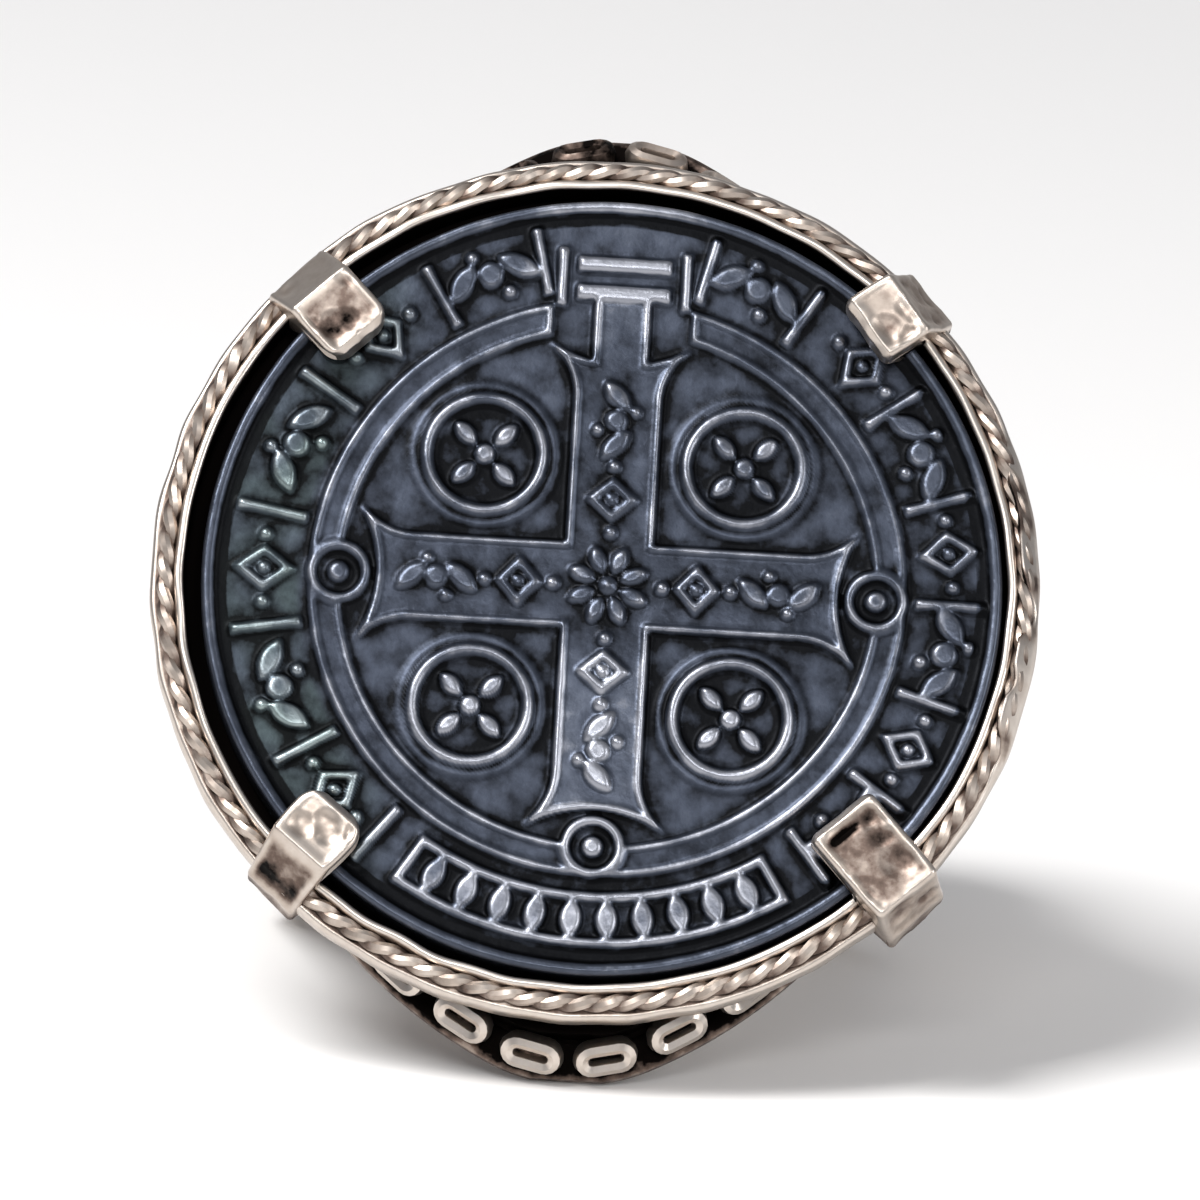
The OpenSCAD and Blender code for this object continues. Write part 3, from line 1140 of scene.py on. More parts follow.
@dataclass
class Band:
    """The band round the finger, whose edges flare into the head.

    Its outside is a circle that stands nearer to the head than the hole does, by shift. Half
    its width is back_half at the back, grows by slope to side_half, and then follows an arc
    of shoulder_r up to the gallery, whose outline it keeps inside by inset.
    """

    oval: Oval = Oval()
    levels: Levels = Levels()
    outer_r: float = 10.45
    shift: float = 0.6
    back_half: float = 3.5
    side_half: float = 5.2
    slope: float = 0.5411
    slope_rounding: float = 0.9
    shoulder_r: float = 7.2
    inset: float = 0.3
    rounding: float = 0.4
    around: int = 288
    across: int = 57
    radii: int = 90

    def half_at(self, level: Array) -> Array:
        """Half the band's width at a height up the head.

        Args:
            level: the height, from the axis of the finger hole.

        Returns:
            Half the width.
        """
        back_z = self.shift - self.outer_r
        taper = self.back_half + (level - back_z) * self.slope
        sides = np.full_like(taper, -self.side_half)
        back = -smooth_max(-taper, sides, self.slope_rounding)
        up = np.clip(level - (self.levels.plate - self.shoulder_r), 0, self.shoulder_r)
        shoulder = self.side_half + self.shoulder_r - np.sqrt(self.shoulder_r**2 - up**2)
        return np.where(up > 0, shoulder, back)

    def outside(self, angle: Array, y: Array, r: Array, hole_r: float) -> Array:
        """Distance outside the band.

        Args:
            angle: where round the finger, in radians from x towards the head.
            y: how far along the finger.
            r: how far from the hole's axis.
            hole_r: radius of the hole.

        Returns:
            The distance, below 0 inside the band.
        """
        s = np.sin(angle)
        x = np.abs(r * np.cos(angle))
        round_r = self.shift * s + np.sqrt(self.outer_r**2 - (self.shift * np.cos(angle)) ** 2)
        plate_r = (self.levels.plate + 0.2) / np.maximum(s, 0.3)
        outer = np.minimum(round_r, np.where(s > 0.3, plate_r, np.inf))
        radial = np.maximum(r - outer, hole_r - r)
        edges = np.maximum(
            np.abs(y) - self.half_at(r * s), x - self.oval.half_width(y, self.inset)
        )
        return smooth_max(radial, edges, self.rounding)

    def build(self, ring: RingFrame) -> Piece:
        """Builds the band as one skin round the finger.

        Args:
            ring: the ring's directions.

        Returns:
            The piece, darkened as painted shade where it runs under the gallery.
        """
        hole_r = ring.hole_r
        angle = np.linspace(0, 2 * math.pi, self.around, endpoint=False)
        radii = np.linspace(hole_r - 0.05, self.outer_r + self.shift + 0.05, self.radii)
        reach = self.end_reach(angle, radii, hole_r)
        spread = np.sin(np.linspace(-math.pi / 2, math.pi / 2, self.across))
        y = reach[:, None] * spread[None, :] * 0.9995
        gap = self.outside(angle[:, None, None], y[:, :, None], radii[None, None, :], hole_r)
        low, high = self.crossings(gap, radii)
        rows_y = np.concatenate([y, y[:, -2:0:-1]], axis=1)
        rows_r = np.concatenate([high, low[:, -2:0:-1]], axis=1)
        turn = angle[:, None]
        points = np.stack([rows_r * np.cos(turn), rows_y, rows_r * np.sin(turn)], axis=-1)
        faces = grid_faces(points.shape[0], points.shape[1], True, True)
        points = points.reshape(-1, 3)
        # Painted shade on the outer face where the band runs under the gallery.
        crown = smooth_step(points[:, 2], 7.6, 9.1)
        from_axis = np.hypot(points[:, 0], points[:, 2])
        outer = smooth_step(from_axis, hole_r + 0.05, hole_r + 0.3)
        marks = {"tarnish": 0.1 + 0.6 * crown * outer}
        return make_piece("band", ring, points, faces, marks, sharp_over=50)

    def end_reach(self, angle: Array, radii: Array, hole_r: float) -> Array:
        """Finds how far the band reaches along the finger.

        Args:
            angle: places round the finger, in radians.
            radii: distances from the hole's axis at which it is looked for.
            hole_r: radius of the hole.

        Returns:
            The reach at each angle.
        """
        y = np.linspace(0, self.oval.length / 2, 600)
        best = np.empty((len(angle), len(y)))
        for k, a in enumerate(angle):
            best[k] = self.outside(np.array(a), y[:, None], radii[None, :], hole_r).min(axis=1)
        last = (best < 0).sum(axis=1) - 1
        row = np.arange(len(angle))
        inside = best[row, last]
        beyond = best[row, last + 1]
        return y[last] + (y[1] - y[0]) * inside / (inside - beyond)

    @staticmethod
    def crossings(gap: Array, radii: Array) -> tuple[Array, Array]:
        """Finds where lines from the hole's axis enter and leave the band.

        Args:
            gap: distance outside the band at each radius of each line.
            radii: the radii, in order.

        Returns:
            The lowest and the highest radius inside the band, for each line.
        """
        step = radii[1] - radii[0]
        inside = gap < 0
        first = inside.argmax(axis=-1)
        last = len(radii) - 1 - inside[..., ::-1].argmax(axis=-1)
        found = inside.any(axis=-1)
        nearest = radii[gap.argmin(axis=-1)]
        pick = lambda at: np.take_along_axis(gap, at[..., None], axis=-1)[..., 0]
        before = np.maximum(first - 1, 0)
        after = np.minimum(last + 1, len(radii) - 1)
        low = radii[first] - step * pick(first) / (pick(first) - pick(before) - 1e-9)
        high = radii[last] + step * pick(last) / (pick(last) - pick(after) - 1e-9)
        return np.where(found, low, nearest), np.where(found, high, nearest)


@dataclass
class Gallery:
    """The oval plate and sunk neck under the bezel, with a row of hollow loops round them.

    The plate's ends are cut flat at flat_l, and the neck stands inside its edge by
    neck_inset. A loop's wire is loop_depth times as deep as it is wide, and its thin floor
    lies at floor_z behind the wire's middle.
    """

    oval: Oval = Oval()
    levels: Levels = Levels()
    flat_l: float = 27.4
    neck_inset: float = 1.1
    edge: float = 0.12
    around: int = 288
    loop_count: int = 32
    loop_l: float = 1.85
    loop_h: float = 1.1
    loop_wire: float = 0.48
    loop_corner_r: float = 0.3
    loop_depth: float = 1.35
    loop_lean: float = 45.0
    floor_t: float = 0.1
    floor_z: float = -0.08

    def build_plate(self, ring: RingFrame) -> Piece:
        """Builds the plate with its neck, dark in the recess behind the loops: oxide and painted
        shade.

        Args:
            ring: the ring's directions.

        Returns:
            The piece.
        """
        plate, neck = self.levels.plate, self.levels.neck
        neck_in = self.neck_inset
        # Each step: inset, level and darkness; the darkness paints shade under the bezel and behind
        # the loops, together with oxide.
        steps = (
            (self.edge, plate, 0.7),
            (0.0, plate + self.edge, 0.6),
            (0.0, neck - self.edge, 0.55),
            (self.edge, neck, 0.9),
            (neck_in - 0.1, neck, 1.8),
            (neck_in, neck + 0.1, 1.8),
            (neck_in, self.levels.cup + 0.1, 1.8),
        )
        rows = []
        tarnish = []
        for inset, level, dark in steps:
            places, _ = self.oval.places(inset, self.around)
            half_l = self.flat_l / 2 - inset
            places[:, 1] = np.clip(places[:, 1], -half_l, half_l)
            rows.append(np.column_stack([places, np.full(self.around, level)]))
            tarnish.append(np.full(self.around, dark))
        faces = tube_faces(len(rows), self.around)
        marks = {"tarnish": np.concatenate(tarnish)}
        points = np.concatenate(rows)
        return make_piece("gallery_plate", ring, points, faces, marks, sharp_over=30)

    def loop_tree(self) -> Tree:
        """Builds the node tree that sets a hollow loop on each point of a mesh.

        Returns:
            A tree with the loop's sizes as inputs, which turns each loop by the outward and tangent
            directions stored on the points, makes its floor near-black as oxide and painted shade,
            and darkens it by the loop darkening stored there.
        """
        sockets = {
            "Points": "Geometry",
            "Loop length": "Float",
            "Loop height": "Float",
            "Wire": "Float",
            "Corner radius": "Float",
            "Floor thickness": "Float",
            "Material": "Material",
        }
        tree, start = start_geometry("gallery_loops", sockets)
        given = start.outputs
        length, height = (
            add_node(
                tree,
                "ShaderNodeMath",
                {"operation": "SUBTRACT"},
                {0: given[name], 1: given["Wire"]},
            )
            for name in ("Loop length", "Loop height")
        )
        path = add_node(
            tree,
            "GeometryNodeCurvePrimitiveQuadrilateral",
            inputs={"Width": length, "Height": height},
        )
        path = add_node(
            tree,
            "GeometryNodeFilletCurve",
            {"mode": "POLY"},
            {"Curve": path, "Count": 4, "Radius": given["Corner radius"], "Limit Radius": True},
        )
        wire_r = add_node(
            tree, "ShaderNodeMath", {"operation": "MULTIPLY"}, {0: given["Wire"], 1: 0.5}
        )
        section = add_node(
            tree, "GeometryNodeCurvePrimitiveCircle", inputs={"Resolution": 8, "Radius": wire_r}
        )
        wire = add_node(
            tree, "GeometryNodeCurveToMesh", inputs={"Curve": path, "Profile Curve": section}
        )
        wire = add_node(
            tree,
            "GeometryNodeTransform",
            inputs={"Geometry": wire, "Scale": (1.0, 1.0, self.loop_depth)},
        )
        floor = self.loop_floor(tree, path, given["Floor thickness"])
        # The wire stays bright; the floor's near-black is oxide and painted shade in the loop's
        # hollow.
        parts = [
            add_node(
                tree,
                "GeometryNodeStoreNamedAttribute",
                FLOAT_MARK,
                {"Geometry": part, "Name": "tarnish", "Value": dark},
            )
            for part, dark in ((wire, 0.05), (floor, 0.9))
        ]
        loop = add_node(tree, "GeometryNodeJoinGeometry", inputs={0: parts[::-1]})
        outward, tangent = (
            add_node(
                tree,
                "GeometryNodeInputNamedAttribute",
                {"data_type": "FLOAT_VECTOR"},
                {"Name": name},
            )
            for name in ("outward", "tangent")
        )
        turn = add_node(
            tree, "FunctionNodeAlignRotationToVector", {"axis": "Z"}, {"Vector": outward}
        )
        turn = add_node(
            tree,
            "FunctionNodeAlignRotationToVector",
            {"axis": "X", "pivot_axis": "Z"},
            {"Rotation": turn, "Vector": tangent},
        )
        row = add_node(
            tree,
            "GeometryNodeInstanceOnPoints",
            inputs={"Points": given["Points"], "Instance": loop, "Rotation": turn},
        )
        row = add_node(tree, "GeometryNodeRealizeInstances", inputs={"Geometry": row})
        own, grime = (
            add_node(
                tree, "GeometryNodeInputNamedAttribute", {"data_type": "FLOAT"}, {"Name": name}
            )
            for name in ("tarnish", "grime")
        )
        darker = add_node(tree, "ShaderNodeMath", {"operation": "MAXIMUM"}, {0: own, 1: grime})
        aged = add_node(
            tree,
            "GeometryNodeStoreNamedAttribute",
            FLOAT_MARK,
            {"Geometry": row, "Name": "tarnish", "Value": darker},
        )
        return end_geometry(tree, aged, given["Material"])

    def loop_floor(self, tree: Tree, path: Node, thickness: Socket) -> Node:
        """Adds the thin sunk floor of a loop, as a closed plate.

        Args:
            tree: the loops' tree.
            path: the node that gives the loop's path.
            thickness: the tree's input for the floor's thickness.

        Returns:
            The node that gives the plate.
        """
        under = add_node(tree, "GeometryNodeFillCurve", {"mode": "NGONS"}, {"Curve": path})
        top = add_node(
            tree,
            "GeometryNodeExtrudeMesh",
            {"mode": "FACES"},
            {"Mesh": under, "Offset Scale": thickness},
        )
        under = add_node(tree, "GeometryNodeFlipFaces", inputs={"Mesh": under})
        plate = add_node(tree, "GeometryNodeJoinGeometry", inputs={0: [under, top]})
        plate = add_node(
            tree, "GeometryNodeMergeByDistance", inputs={"Geometry": plate, "Distance": 0.001}
        )
        return add_node(
            tree,
            "GeometryNodeTransform",
            inputs={"Geometry": plate, "Translation": (0.0, 0.0, self.floor_z)},
        )

    def build_loops(self, ring: RingFrame, material: Material) -> Piece:
        """Builds the row of loops, each leaning out against the neck.

        Args:
            ring: the ring's directions.
            material: the finish that the tree sets.

        Returns:
            The loops as one plain mesh.
        """
        places, angle = self.oval.places(self.neck_inset / 2 + 0.05, self.loop_count, start=0.5)
        lean = math.radians(self.loop_lean)
        east, north = np.cos(angle), np.sin(angle)
        up = np.full(len(angle), math.cos(lean))
        outward = np.column_stack([east * math.sin(lean), north * math.sin(lean), up])
        tangent = np.column_stack([-north, east, np.zeros(len(angle))])
        level = np.full(len(places), (self.levels.neck + self.levels.cup) / 2)
        mesh = bpy.data.meshes.new("loop_places")
        mesh.from_pydata(np.column_stack([places, level]).tolist(), [], [])
        for name, rows in (("outward", outward), ("tangent", tangent)):
            layer = mesh.attributes.new(name, "FLOAT_VECTOR", "POINT")
            layer.data.foreach_set("vector", rows.ravel())
        layer = mesh.attributes.new("grime", "FLOAT", "POINT")
        layer.data.foreach_set("value", self.grime(places[:, 0], places[:, 1]))
        inputs = {
            "Loop length": self.loop_l,
            "Loop height": self.loop_h,
            "Wire": self.loop_wire,
            "Corner radius": self.loop_corner_r,
            "Floor thickness": self.floor_t,
            "Material": material,
        }
        return grow("gallery_loops", mesh, self.loop_tree(), inputs, ring)

    @staticmethod
    def grime(x: Array, y: Array) -> Array:
        """Works out how dark the loops are made: most at the fingertip end but less at its right,
        and a little along the sides.

        Args:
            x: the loops' places across the finger.
            y: their places along it.

        Returns:
            How dark each loop is, from 0 to 1.
        """
        at_tip = smooth_step(y, 7.0, 11.0) * (1 - 0.75 * smooth_step(x, -0.6, 1.6))
        at_sides = 1 - smooth_step(np.abs(y), 8.0, 11.0)
        return np.maximum(0.85 * at_tip, 0.3 * at_sides)


@dataclass
class Bezel:
    """The cup that holds the medallion, with a flange, a thin rim and a twisted wire between.

    The flange's and the rim's edges wander in radius and in height by the two values of
    their uneven pair. At the side towards x the flange's lip is struck over the wire, fully
    up to the first of struck_degrees and no more past the second.
    """

    levels: Levels = Levels()
    flange_r: float = 12.5
    flange_t: float = 0.8
    cup_r: float = 12.1
    rim_r: float = 11.85
    rim_in_r: float = 11.55
    inner_r: float = 8.0
    segments: int = 400
    rope_r: float = 12.07
    rope_rise: float = 0.19
    strand_r: float = 0.185
    strand_off: float = 0.085
    strands: int = 2
    twists: int = 52
    twist_steps: int = 16
    lip_in: float = 0.36
    lip_up: float = 0.62
    struck_degrees: Pair = (15, 25)
    flange_uneven: Pair = (0.025, 0.02)
    rim_uneven: Pair = (0.03, 0.035)

    def profile(self) -> Array:
        """Draws the bezel's section, from its underside up its outside and down into its seat.

        Returns:
            Rows of radius, level and darkness, the darkness being oxide and painted shade.
        """
        low, seat = self.levels.cup, self.levels.seat
        edge, top = self.levels.flange, self.levels.rim_top
        under = edge - self.flange_t
        # Darkness: oxide with painted shade under the flange and cup, in the groove by the rim and
        # down into the seat.
        return np.array(
            [
                (self.inner_r, low, 1.6),
                (self.cup_r - 0.1, low, 0.8),
                (self.cup_r, low + 0.1, 0.8),
                (self.cup_r, under - 0.02, 1.0),
                (self.flange_r - 0.14, under, 0.7),
                (self.flange_r - 0.04, under + 0.05, 0.3),
                (self.flange_r, under + 0.16, 0.15),
                (self.flange_r, edge - 0.12, 0.05),
                (self.flange_r - 0.04, edge - 0.03, 0.05),
                (self.flange_r - 0.1, edge, 0.1),
                (self.flange_r - 0.13, edge, 0.2),
                (self.flange_r - 0.16, edge, 0.6),
                (self.rim_r + 0.06, edge + 0.02, 0.9),
                (self.rim_r, edge + 0.1, 0.9),
                (self.rim_r - 0.01, top - 0.16, 0.5),
                (self.rim_r - 0.05, top - 0.05, 0.1),
                (self.rim_r - 0.11, top, 0.0),
                (self.rim_in_r + 0.08, top, 0.0),
                (self.rim_in_r + 0.02, top - 0.05, 0.15),
                (self.rim_in_r, top - 0.18, 1.2),
                (self.rim_in_r, seat + 0.05, 2.0),
                (self.rim_in_r - 0.1, seat, 2.0),
                (self.inner_r, seat, 2.0),
            ]
        )

    def build(self, ring: RingFrame) -> Piece:
        """Builds the bezel, with its edges uneven as if filed and burnished by hand.

        Args:
            ring: the ring's directions.

        Returns:
            The piece.
        """
        section_r, section_z, section_dark = (column[:, None] for column in self.profile().T)
        angle = np.linspace(0, 2 * math.pi, self.segments, endpoint=False)
        at_flange = smooth_step(section_r, self.flange_r - 0.3, self.flange_r)
        at_top = smooth_step(section_z, self.levels.flange + 0.1, self.levels.rim_top)
        lip = self.lip(section_r, section_z) * self.struck(angle)
        flange_in, flange_up = self.flange_uneven
        rim_in, rim_up = self.rim_uneven
        radius = section_r + flange_in * at_flange * wobble(angle, range(5, 46), seed=11)
        radius = radius + rim_in * at_top * wobble(angle, range(4, 40), seed=12)
        radius = radius - self.lip_in * lip
        level = section_z + rim_up * at_top * wobble(angle, range(3, 36), seed=13)
        level = level + flange_up * at_flange * wobble(angle, range(6, 60), seed=14)
        level = level + self.lip_up * lip
        points = np.stack([radius * np.cos(angle), radius * np.sin(angle), level], axis=-1)
        faces = tube_faces(len(points), self.segments)
        patchy = 0.6 * np.clip(wobble(angle, range(20, 60), seed=16), -0.3, 1) * (lip > 0.05)
        marks = {"tarnish": np.clip(section_dark + patchy, 0, 2)}
        return make_piece("bezel", ring, points.reshape(-1, 3), faces, marks, sharp_over=60)

    def lip(self, section_r: Array, section_z: Array) -> Array:
        """Which rows of the section are the flange's lip, from 0 to 1."""
        on_top = (np.abs(section_z - self.levels.flange) < 0.035) & (section_r > self.rim_r + 0.2)
        return on_top * smooth_step(-section_r, -self.flange_r, 0.13 - self.flange_r)

    def struck(self, angle: Array) -> Array:
        """Finds how far the lip is hammered over the wire, at one side only.

        Args:
            angle: places round the head, in radians.

        Returns:
            How far it is hammered at each place, from 0 to about 1.
        """
        from_side = np.abs(np.degrees((angle + math.pi) % (2 * math.pi) - math.pi))
        blows = np.clip(0.85 + 0.8 * wobble(angle, range(10, 42), seed=15), 0, 1.1)
        return (1 - smooth_step(from_side, *self.struck_degrees)) * blows

    def rope_tree(self) -> Tree:
        """Builds the node tree that twists strands of wire round a circle.

        Returns:
            A tree with the circle's radius, the twists and the strands' sizes as inputs.
        """
        sockets = {
            "Seed": "Geometry",
            "Radius": "Float",
            "Twists": "Float",
            "Strand radius": "Float",
            "Strand offset": "Float",
            "Strands": "Int",
            "Rise": "Float",
            "Material": "Material",
        }
        tree, start = start_geometry("twisted_wire", sockets)
        given = start.outputs
        circle = add_node(
            tree,
            "GeometryNodeCurvePrimitiveCircle",
            inputs={"Resolution": self.twists * self.twist_steps, "Radius": given["Radius"]},
        )
        copies = add_node(
            tree,
            "GeometryNodeDuplicateElements",
            {"domain": "SPLINE"},
            {"Geometry": circle, "Amount": given["Strands"]},
        )
        place = add_node(tree, "GeometryNodeInputPosition")
        axes = add_node(tree, "ShaderNodeSeparateXYZ", inputs={0: place}).outputs
        around = add_node(
            tree, "ShaderNodeMath", {"operation": "ARCTAN2"}, {0: axes[1], 1: axes[0]}
        )
        turns = add_node(
            tree, "ShaderNodeMath", {"operation": "MULTIPLY"}, {0: around, 1: given["Twists"]}
        )
        share = add_node(
            tree,
            "ShaderNodeMath",
            {"operation": "DIVIDE"},
            {0: copies.outputs["Duplicate Index"], 1: given["Strands"]},
        )
        phase = add_node(
            tree, "ShaderNodeMath", {"operation": "MULTIPLY"}, {0: share, 1: 2 * math.pi}
        )
        twist = add_node(tree, "ShaderNodeMath", {"operation": "ADD"}, {0: turns, 1: phase})
        cosine = add_node(tree, "ShaderNodeMath", {"operation": "COSINE"}, {0: twist})
        sine = add_node(tree, "ShaderNodeMath", {"operation": "SINE"}, {0: twist})
        out, up = (
            add_node(
                tree,
                "ShaderNodeMath",
                {"operation": "MULTIPLY"},
                {0: wave, 1: given["Strand offset"]},
            )
            for wave in (cosine, sine)
        )
        scale = add_node(
            tree, "ShaderNodeMath", {"operation": "DIVIDE"}, {0: out, 1: given["Radius"]}
        )
        flat = add_node(
            tree, "ShaderNodeVectorMath", {"operation": "SCALE"}, {0: place, "Scale": scale}
        )
        rise = add_node(tree, "ShaderNodeMath", {"operation": "ADD"}, {0: up, 1: given["Rise"]})
        lift = add_node(tree, "ShaderNodeCombineXYZ", inputs={"Z": rise})
        offset = add_node(tree, "ShaderNodeVectorMath", {"operation": "ADD"}, {0: flat, 1: lift})
        strands = add_node(
            tree, "GeometryNodeSetPosition", inputs={"Geometry": copies, "Offset": offset}
        )
        # Darker where a strand dips under the other: oxide in the twist and painted shade.
        under = add_node(
            tree, "ShaderNodeMapRange", inputs=ranges(sine, (0.95, -0.5), (0.22, 0.62))
        )
        strands = add_node(
            tree,
            "GeometryNodeStoreNamedAttribute",
            FLOAT_MARK,
            {"Geometry": strands, "Name": "tarnish", "Value": under},
        )
        section = add_node(
            tree,
            "GeometryNodeCurvePrimitiveCircle",
            inputs={"Resolution": 8, "Radius": given["Strand radius"]},
        )
        wire = add_node(
            tree, "GeometryNodeCurveToMesh", inputs={"Curve": strands, "Profile Curve": section}
        )
        wire = add_node(tree, "GeometryNodeRealizeInstances", inputs={"Geometry": wire})
        return end_geometry(tree, wire, given["Material"])

    def build_rope(self, ring: RingFrame, material: Material) -> Piece:
        """Builds the twisted wire, darker where a strand dips under, as oxide and painted shade.

        Args:
            ring: the ring's directions.
            material: the finish that the tree sets.

        Returns:
            The wire as one plain mesh.
        """
        inputs = {
            "Radius": self.rope_r,
            "Twists": float(self.twists),
            "Strand radius": self.strand_r,
            "Strand offset": self.strand_off,
            "Strands": self.strands,
            "Rise": self.levels.flange + self.rope_rise,
            "Material": material,
        }
        seed_mesh = bpy.data.meshes.new("rope_seed")
        return grow("twisted_wire", seed_mesh, self.rope_tree(), inputs, ring)


@dataclass(frozen=True)
class ClawSpot:
    """Where a claw stands and how it was bent.

    Args:
        angle: its place round the head, in degrees.
        twist: how far its top is turned about its own middle, in degrees.
        tip: radius where it ends over the medallion.
        fold: radius where it is folded over towards the medallion.
        foot: radius over the outside of its foot.
        width: its width at the tip.
        narrower: how much narrower its foot is.
        corner_r: radius of the corners of its tip, seen from above.
        brown_top: how brown its top is inside its bright edges, from 0 to 1.
        brown_side: the same of the side that leans outwards.
        nick: how deep a nick lies across its tip, and how dark its painted shadow is, from 0 to 1.
    """

    angle: float
    twist: float
    tip: float
    fold: float
    foot: float
    width: float
    narrower: float
    corner_r: float
    brown_top: float
    brown_side: float
    nick: float = 0.0


@dataclass
class Claws:
    """Four square claws: a leg up the outside of the cup, folded over the medallion.

    The long edges are rounded by edge, the middle of a face lies deeper than they do by up
    to sink, and a small hammer has left blows of blow_depth all over.
    """

    levels: Levels = Levels()
    knee_drop: float = 0.3
    thick: float = 0.8
    leg_in_r: float = 11.6
    wire_out_r: float = 12.42
    edge: float = 0.17
    sink: float = 0.16
    blow_depth: float = 0.035
    blow_r: Pair = (0.22, 0.55)
    blows: int = 26
    nick_depth: float = 0.12
    nick_at: float = 0.62
    nick_half_w: float = 0.17
    nick_off: float = 0.25
    steps: int = 33
    spots: tuple[ClawSpot, ...] = (
        ClawSpot(45.5, -8.0, 10.3, 11.9, 12.8, 2.1, 0.1, 0.25, 0.35, 0.3),
        ClawSpot(136.5, -2.0, 9.4, 11.4, 12.4, 2.1, 0.0, 0.6, 0.6, 0.1),
        ClawSpot(227.0, 4.0, 9.7, 11.5, 12.7, 2.1, 0.3, 0.75, 0.2, 0.6),
        ClawSpot(317.0, -4.0, 9.6, 12.7, 13.1, 2.2, 0.1, 0.25, 0.6, 0.35, 1.0),
    )

    def section(self, spot: ClawSpot) -> tuple[Array, Array, Array, Array]:
        """Rounds and divides the claw's outline, as seen from its side.

        Args:
            spot: the claw.

        Returns:
            Rows of radius and level, the outward direction at each, and how deep in the
            middle of the top, and of the leaning side, each lies, from 0 to 1.
        """
        top = self.levels.claw + self.thick
        foot = self.levels.cup + 0.1
        knee = self.levels.flange - self.knee_drop
        lean_r = float(np.interp(self.levels.rim_top, (knee, top), (spot.foot, spot.fold)))
        foot_r = max(spot.foot, self.wire_out_r + 0.02)
        corners = (
            ((spot.tip, self.levels.claw), 0.14),
            ((spot.tip + 0.06, top - 0.2), 0.14),
            ((spot.tip + 0.26, top), 0.16),
            ((spot.fold, top), 0.16),
            ((max(lean_r, self.wire_out_r), self.levels.rim_top), 0.4),
            ((foot_r, knee), 0.16),
            ((foot_r, foot), 0.14),
            ((self.leg_in_r, foot), 0.1),
            ((self.leg_in_r, self.levels.claw), 0.1),
        )
        points = rounded_outline(corners, 0.09)
        ahead = np.roll(points, -1, axis=0) - np.roll(points, 1, axis=0)
        normal = np.stack([-ahead[:, 1], ahead[:, 0]], axis=1)
        normal /= np.linalg.norm(normal, axis=1, keepdims=True)
        on_top = smooth_step(points[:, 0], spot.tip + 0.2, spot.tip + 0.62)
        on_top = on_top * smooth_step(-points[:, 0], -spot.fold + 0.02, -spot.fold + 0.4)
        on_top = on_top * smooth_step(normal[:, 1], 0.7, 0.95)
        on_lean = smooth_step(-points[:, 1], -top + 0.12, -top + 0.5)
        on_lean = on_lean * smooth_step(points[:, 1], knee, knee + 0.35) * (normal[:, 0] > 0.3)
        return points, normal, on_top, on_lean

    def build(self, ring: RingFrame) -> Piece:
        """Builds the four claws as one piece, each with hammered faces and bright edges.

        Args:
            ring: the ring's directions.

        Returns:
            The piece.
        """
        points = []
        faces = []
        tarnish = []
        for number, spot in enumerate(self.spots):
            first = sum(len(part) for part in points)
            part, part_faces, dark = self.one_claw(spot, seed=20 + number)
            faces += [[first + k for k in face] for face in part_faces]
            points.append(part)
            tarnish.append(dark)
        marks = {"tarnish": np.concatenate(tarnish)}
        return make_piece("claws", ring, np.concatenate(points), faces, marks, sharp_over=45)

    def one_claw(self, spot: ClawSpot, seed: int) -> tuple[Array, Faces, Array]:
        """Extrudes one claw's section over its width, rounds its edges and dents its faces.

        Args:
            spot: the claw.
            seed: which dents it gets.

        Returns:
            Its points in ring millimetres, its faces and its darkness at each point.
        """
        outline_points, normal, on_top, on_lean = self.section(spot)
        half = spot.width / 2
        bend = np.linspace(0, math.pi / 2, 5)
        edge_at = half - self.edge + self.edge * np.sin(bend)
        inner = np.linspace(0, half - self.edge, (self.steps - 1) // 2 - 4, endpoint=False)
        one_side = np.concatenate([inner, edge_at])
        across = np.concatenate([-one_side[:0:-1], one_side])
        over = np.maximum(np.abs(across) - (half - self.edge), 0)
        inset = self.edge - np.sqrt(np.maximum(self.edge**2 - over**2, 0))
        in_middle = smooth_step(half - np.abs(across), 0.1, 0.36)[:, None]
        depth = np.maximum(on_top, 0.7 * on_lean)[None, :] * in_middle
        dents = self.dents(across, outline_points, seed)
        from_tip = outline_points[:, 0] - spot.tip
        in_nick = np.clip(1 - np.abs(from_tip - self.nick_at) / self.nick_half_w, 0, 1)
        in_nick = in_nick * (on_top > 0)
        over_nick = 1 - smooth_step(np.abs(across + self.nick_off), 0.35, 0.6)
        nick = spot.nick * in_nick[None, :] * over_nick[:, None]
        sunk = self.sink * depth * (0.35 + 0.65 * dents)
        sunk = sunk + self.blow_depth * dents * (1 - depth) + self.nick_depth * nick
        shift = -(inset[:, None] + sunk)
        plan = outline_points[None, :, :] + normal[None, :, :] * shift[:, :, None]
        out = smooth_step(plan[..., 0], spot.fold - 0.8, spot.foot)
        short = np.clip(spot.corner_r - (plan[..., 0] - spot.tip), 0, spot.corner_r)
        tip_in = spot.corner_r - np.sqrt(spot.corner_r**2 - short**2)
        u = across[:, None] * (1 - spot.narrower / spot.width * out - tip_in / half)
        turn = np.radians(spot.twist) * smooth_step(plan[..., 1], self.levels.cup, self.levels.claw)
        mid_r = (spot.tip + spot.foot) / 2
        radial = mid_r + (plan[..., 0] - mid_r) * np.cos(turn) - u * np.sin(turn)
        sideways = u * np.cos(turn) + (plan[..., 0] - mid_r) * np.sin(turn)
        a = math.radians(spot.angle)
        x = radial * math.cos(a) - sideways * math.sin(a)
        y = radial * math.sin(a) + sideways * math.cos(a)
        points = np.stack([x, y, plan[..., 1]], axis=-1)
        faces = tube_faces(*points.shape[:2])
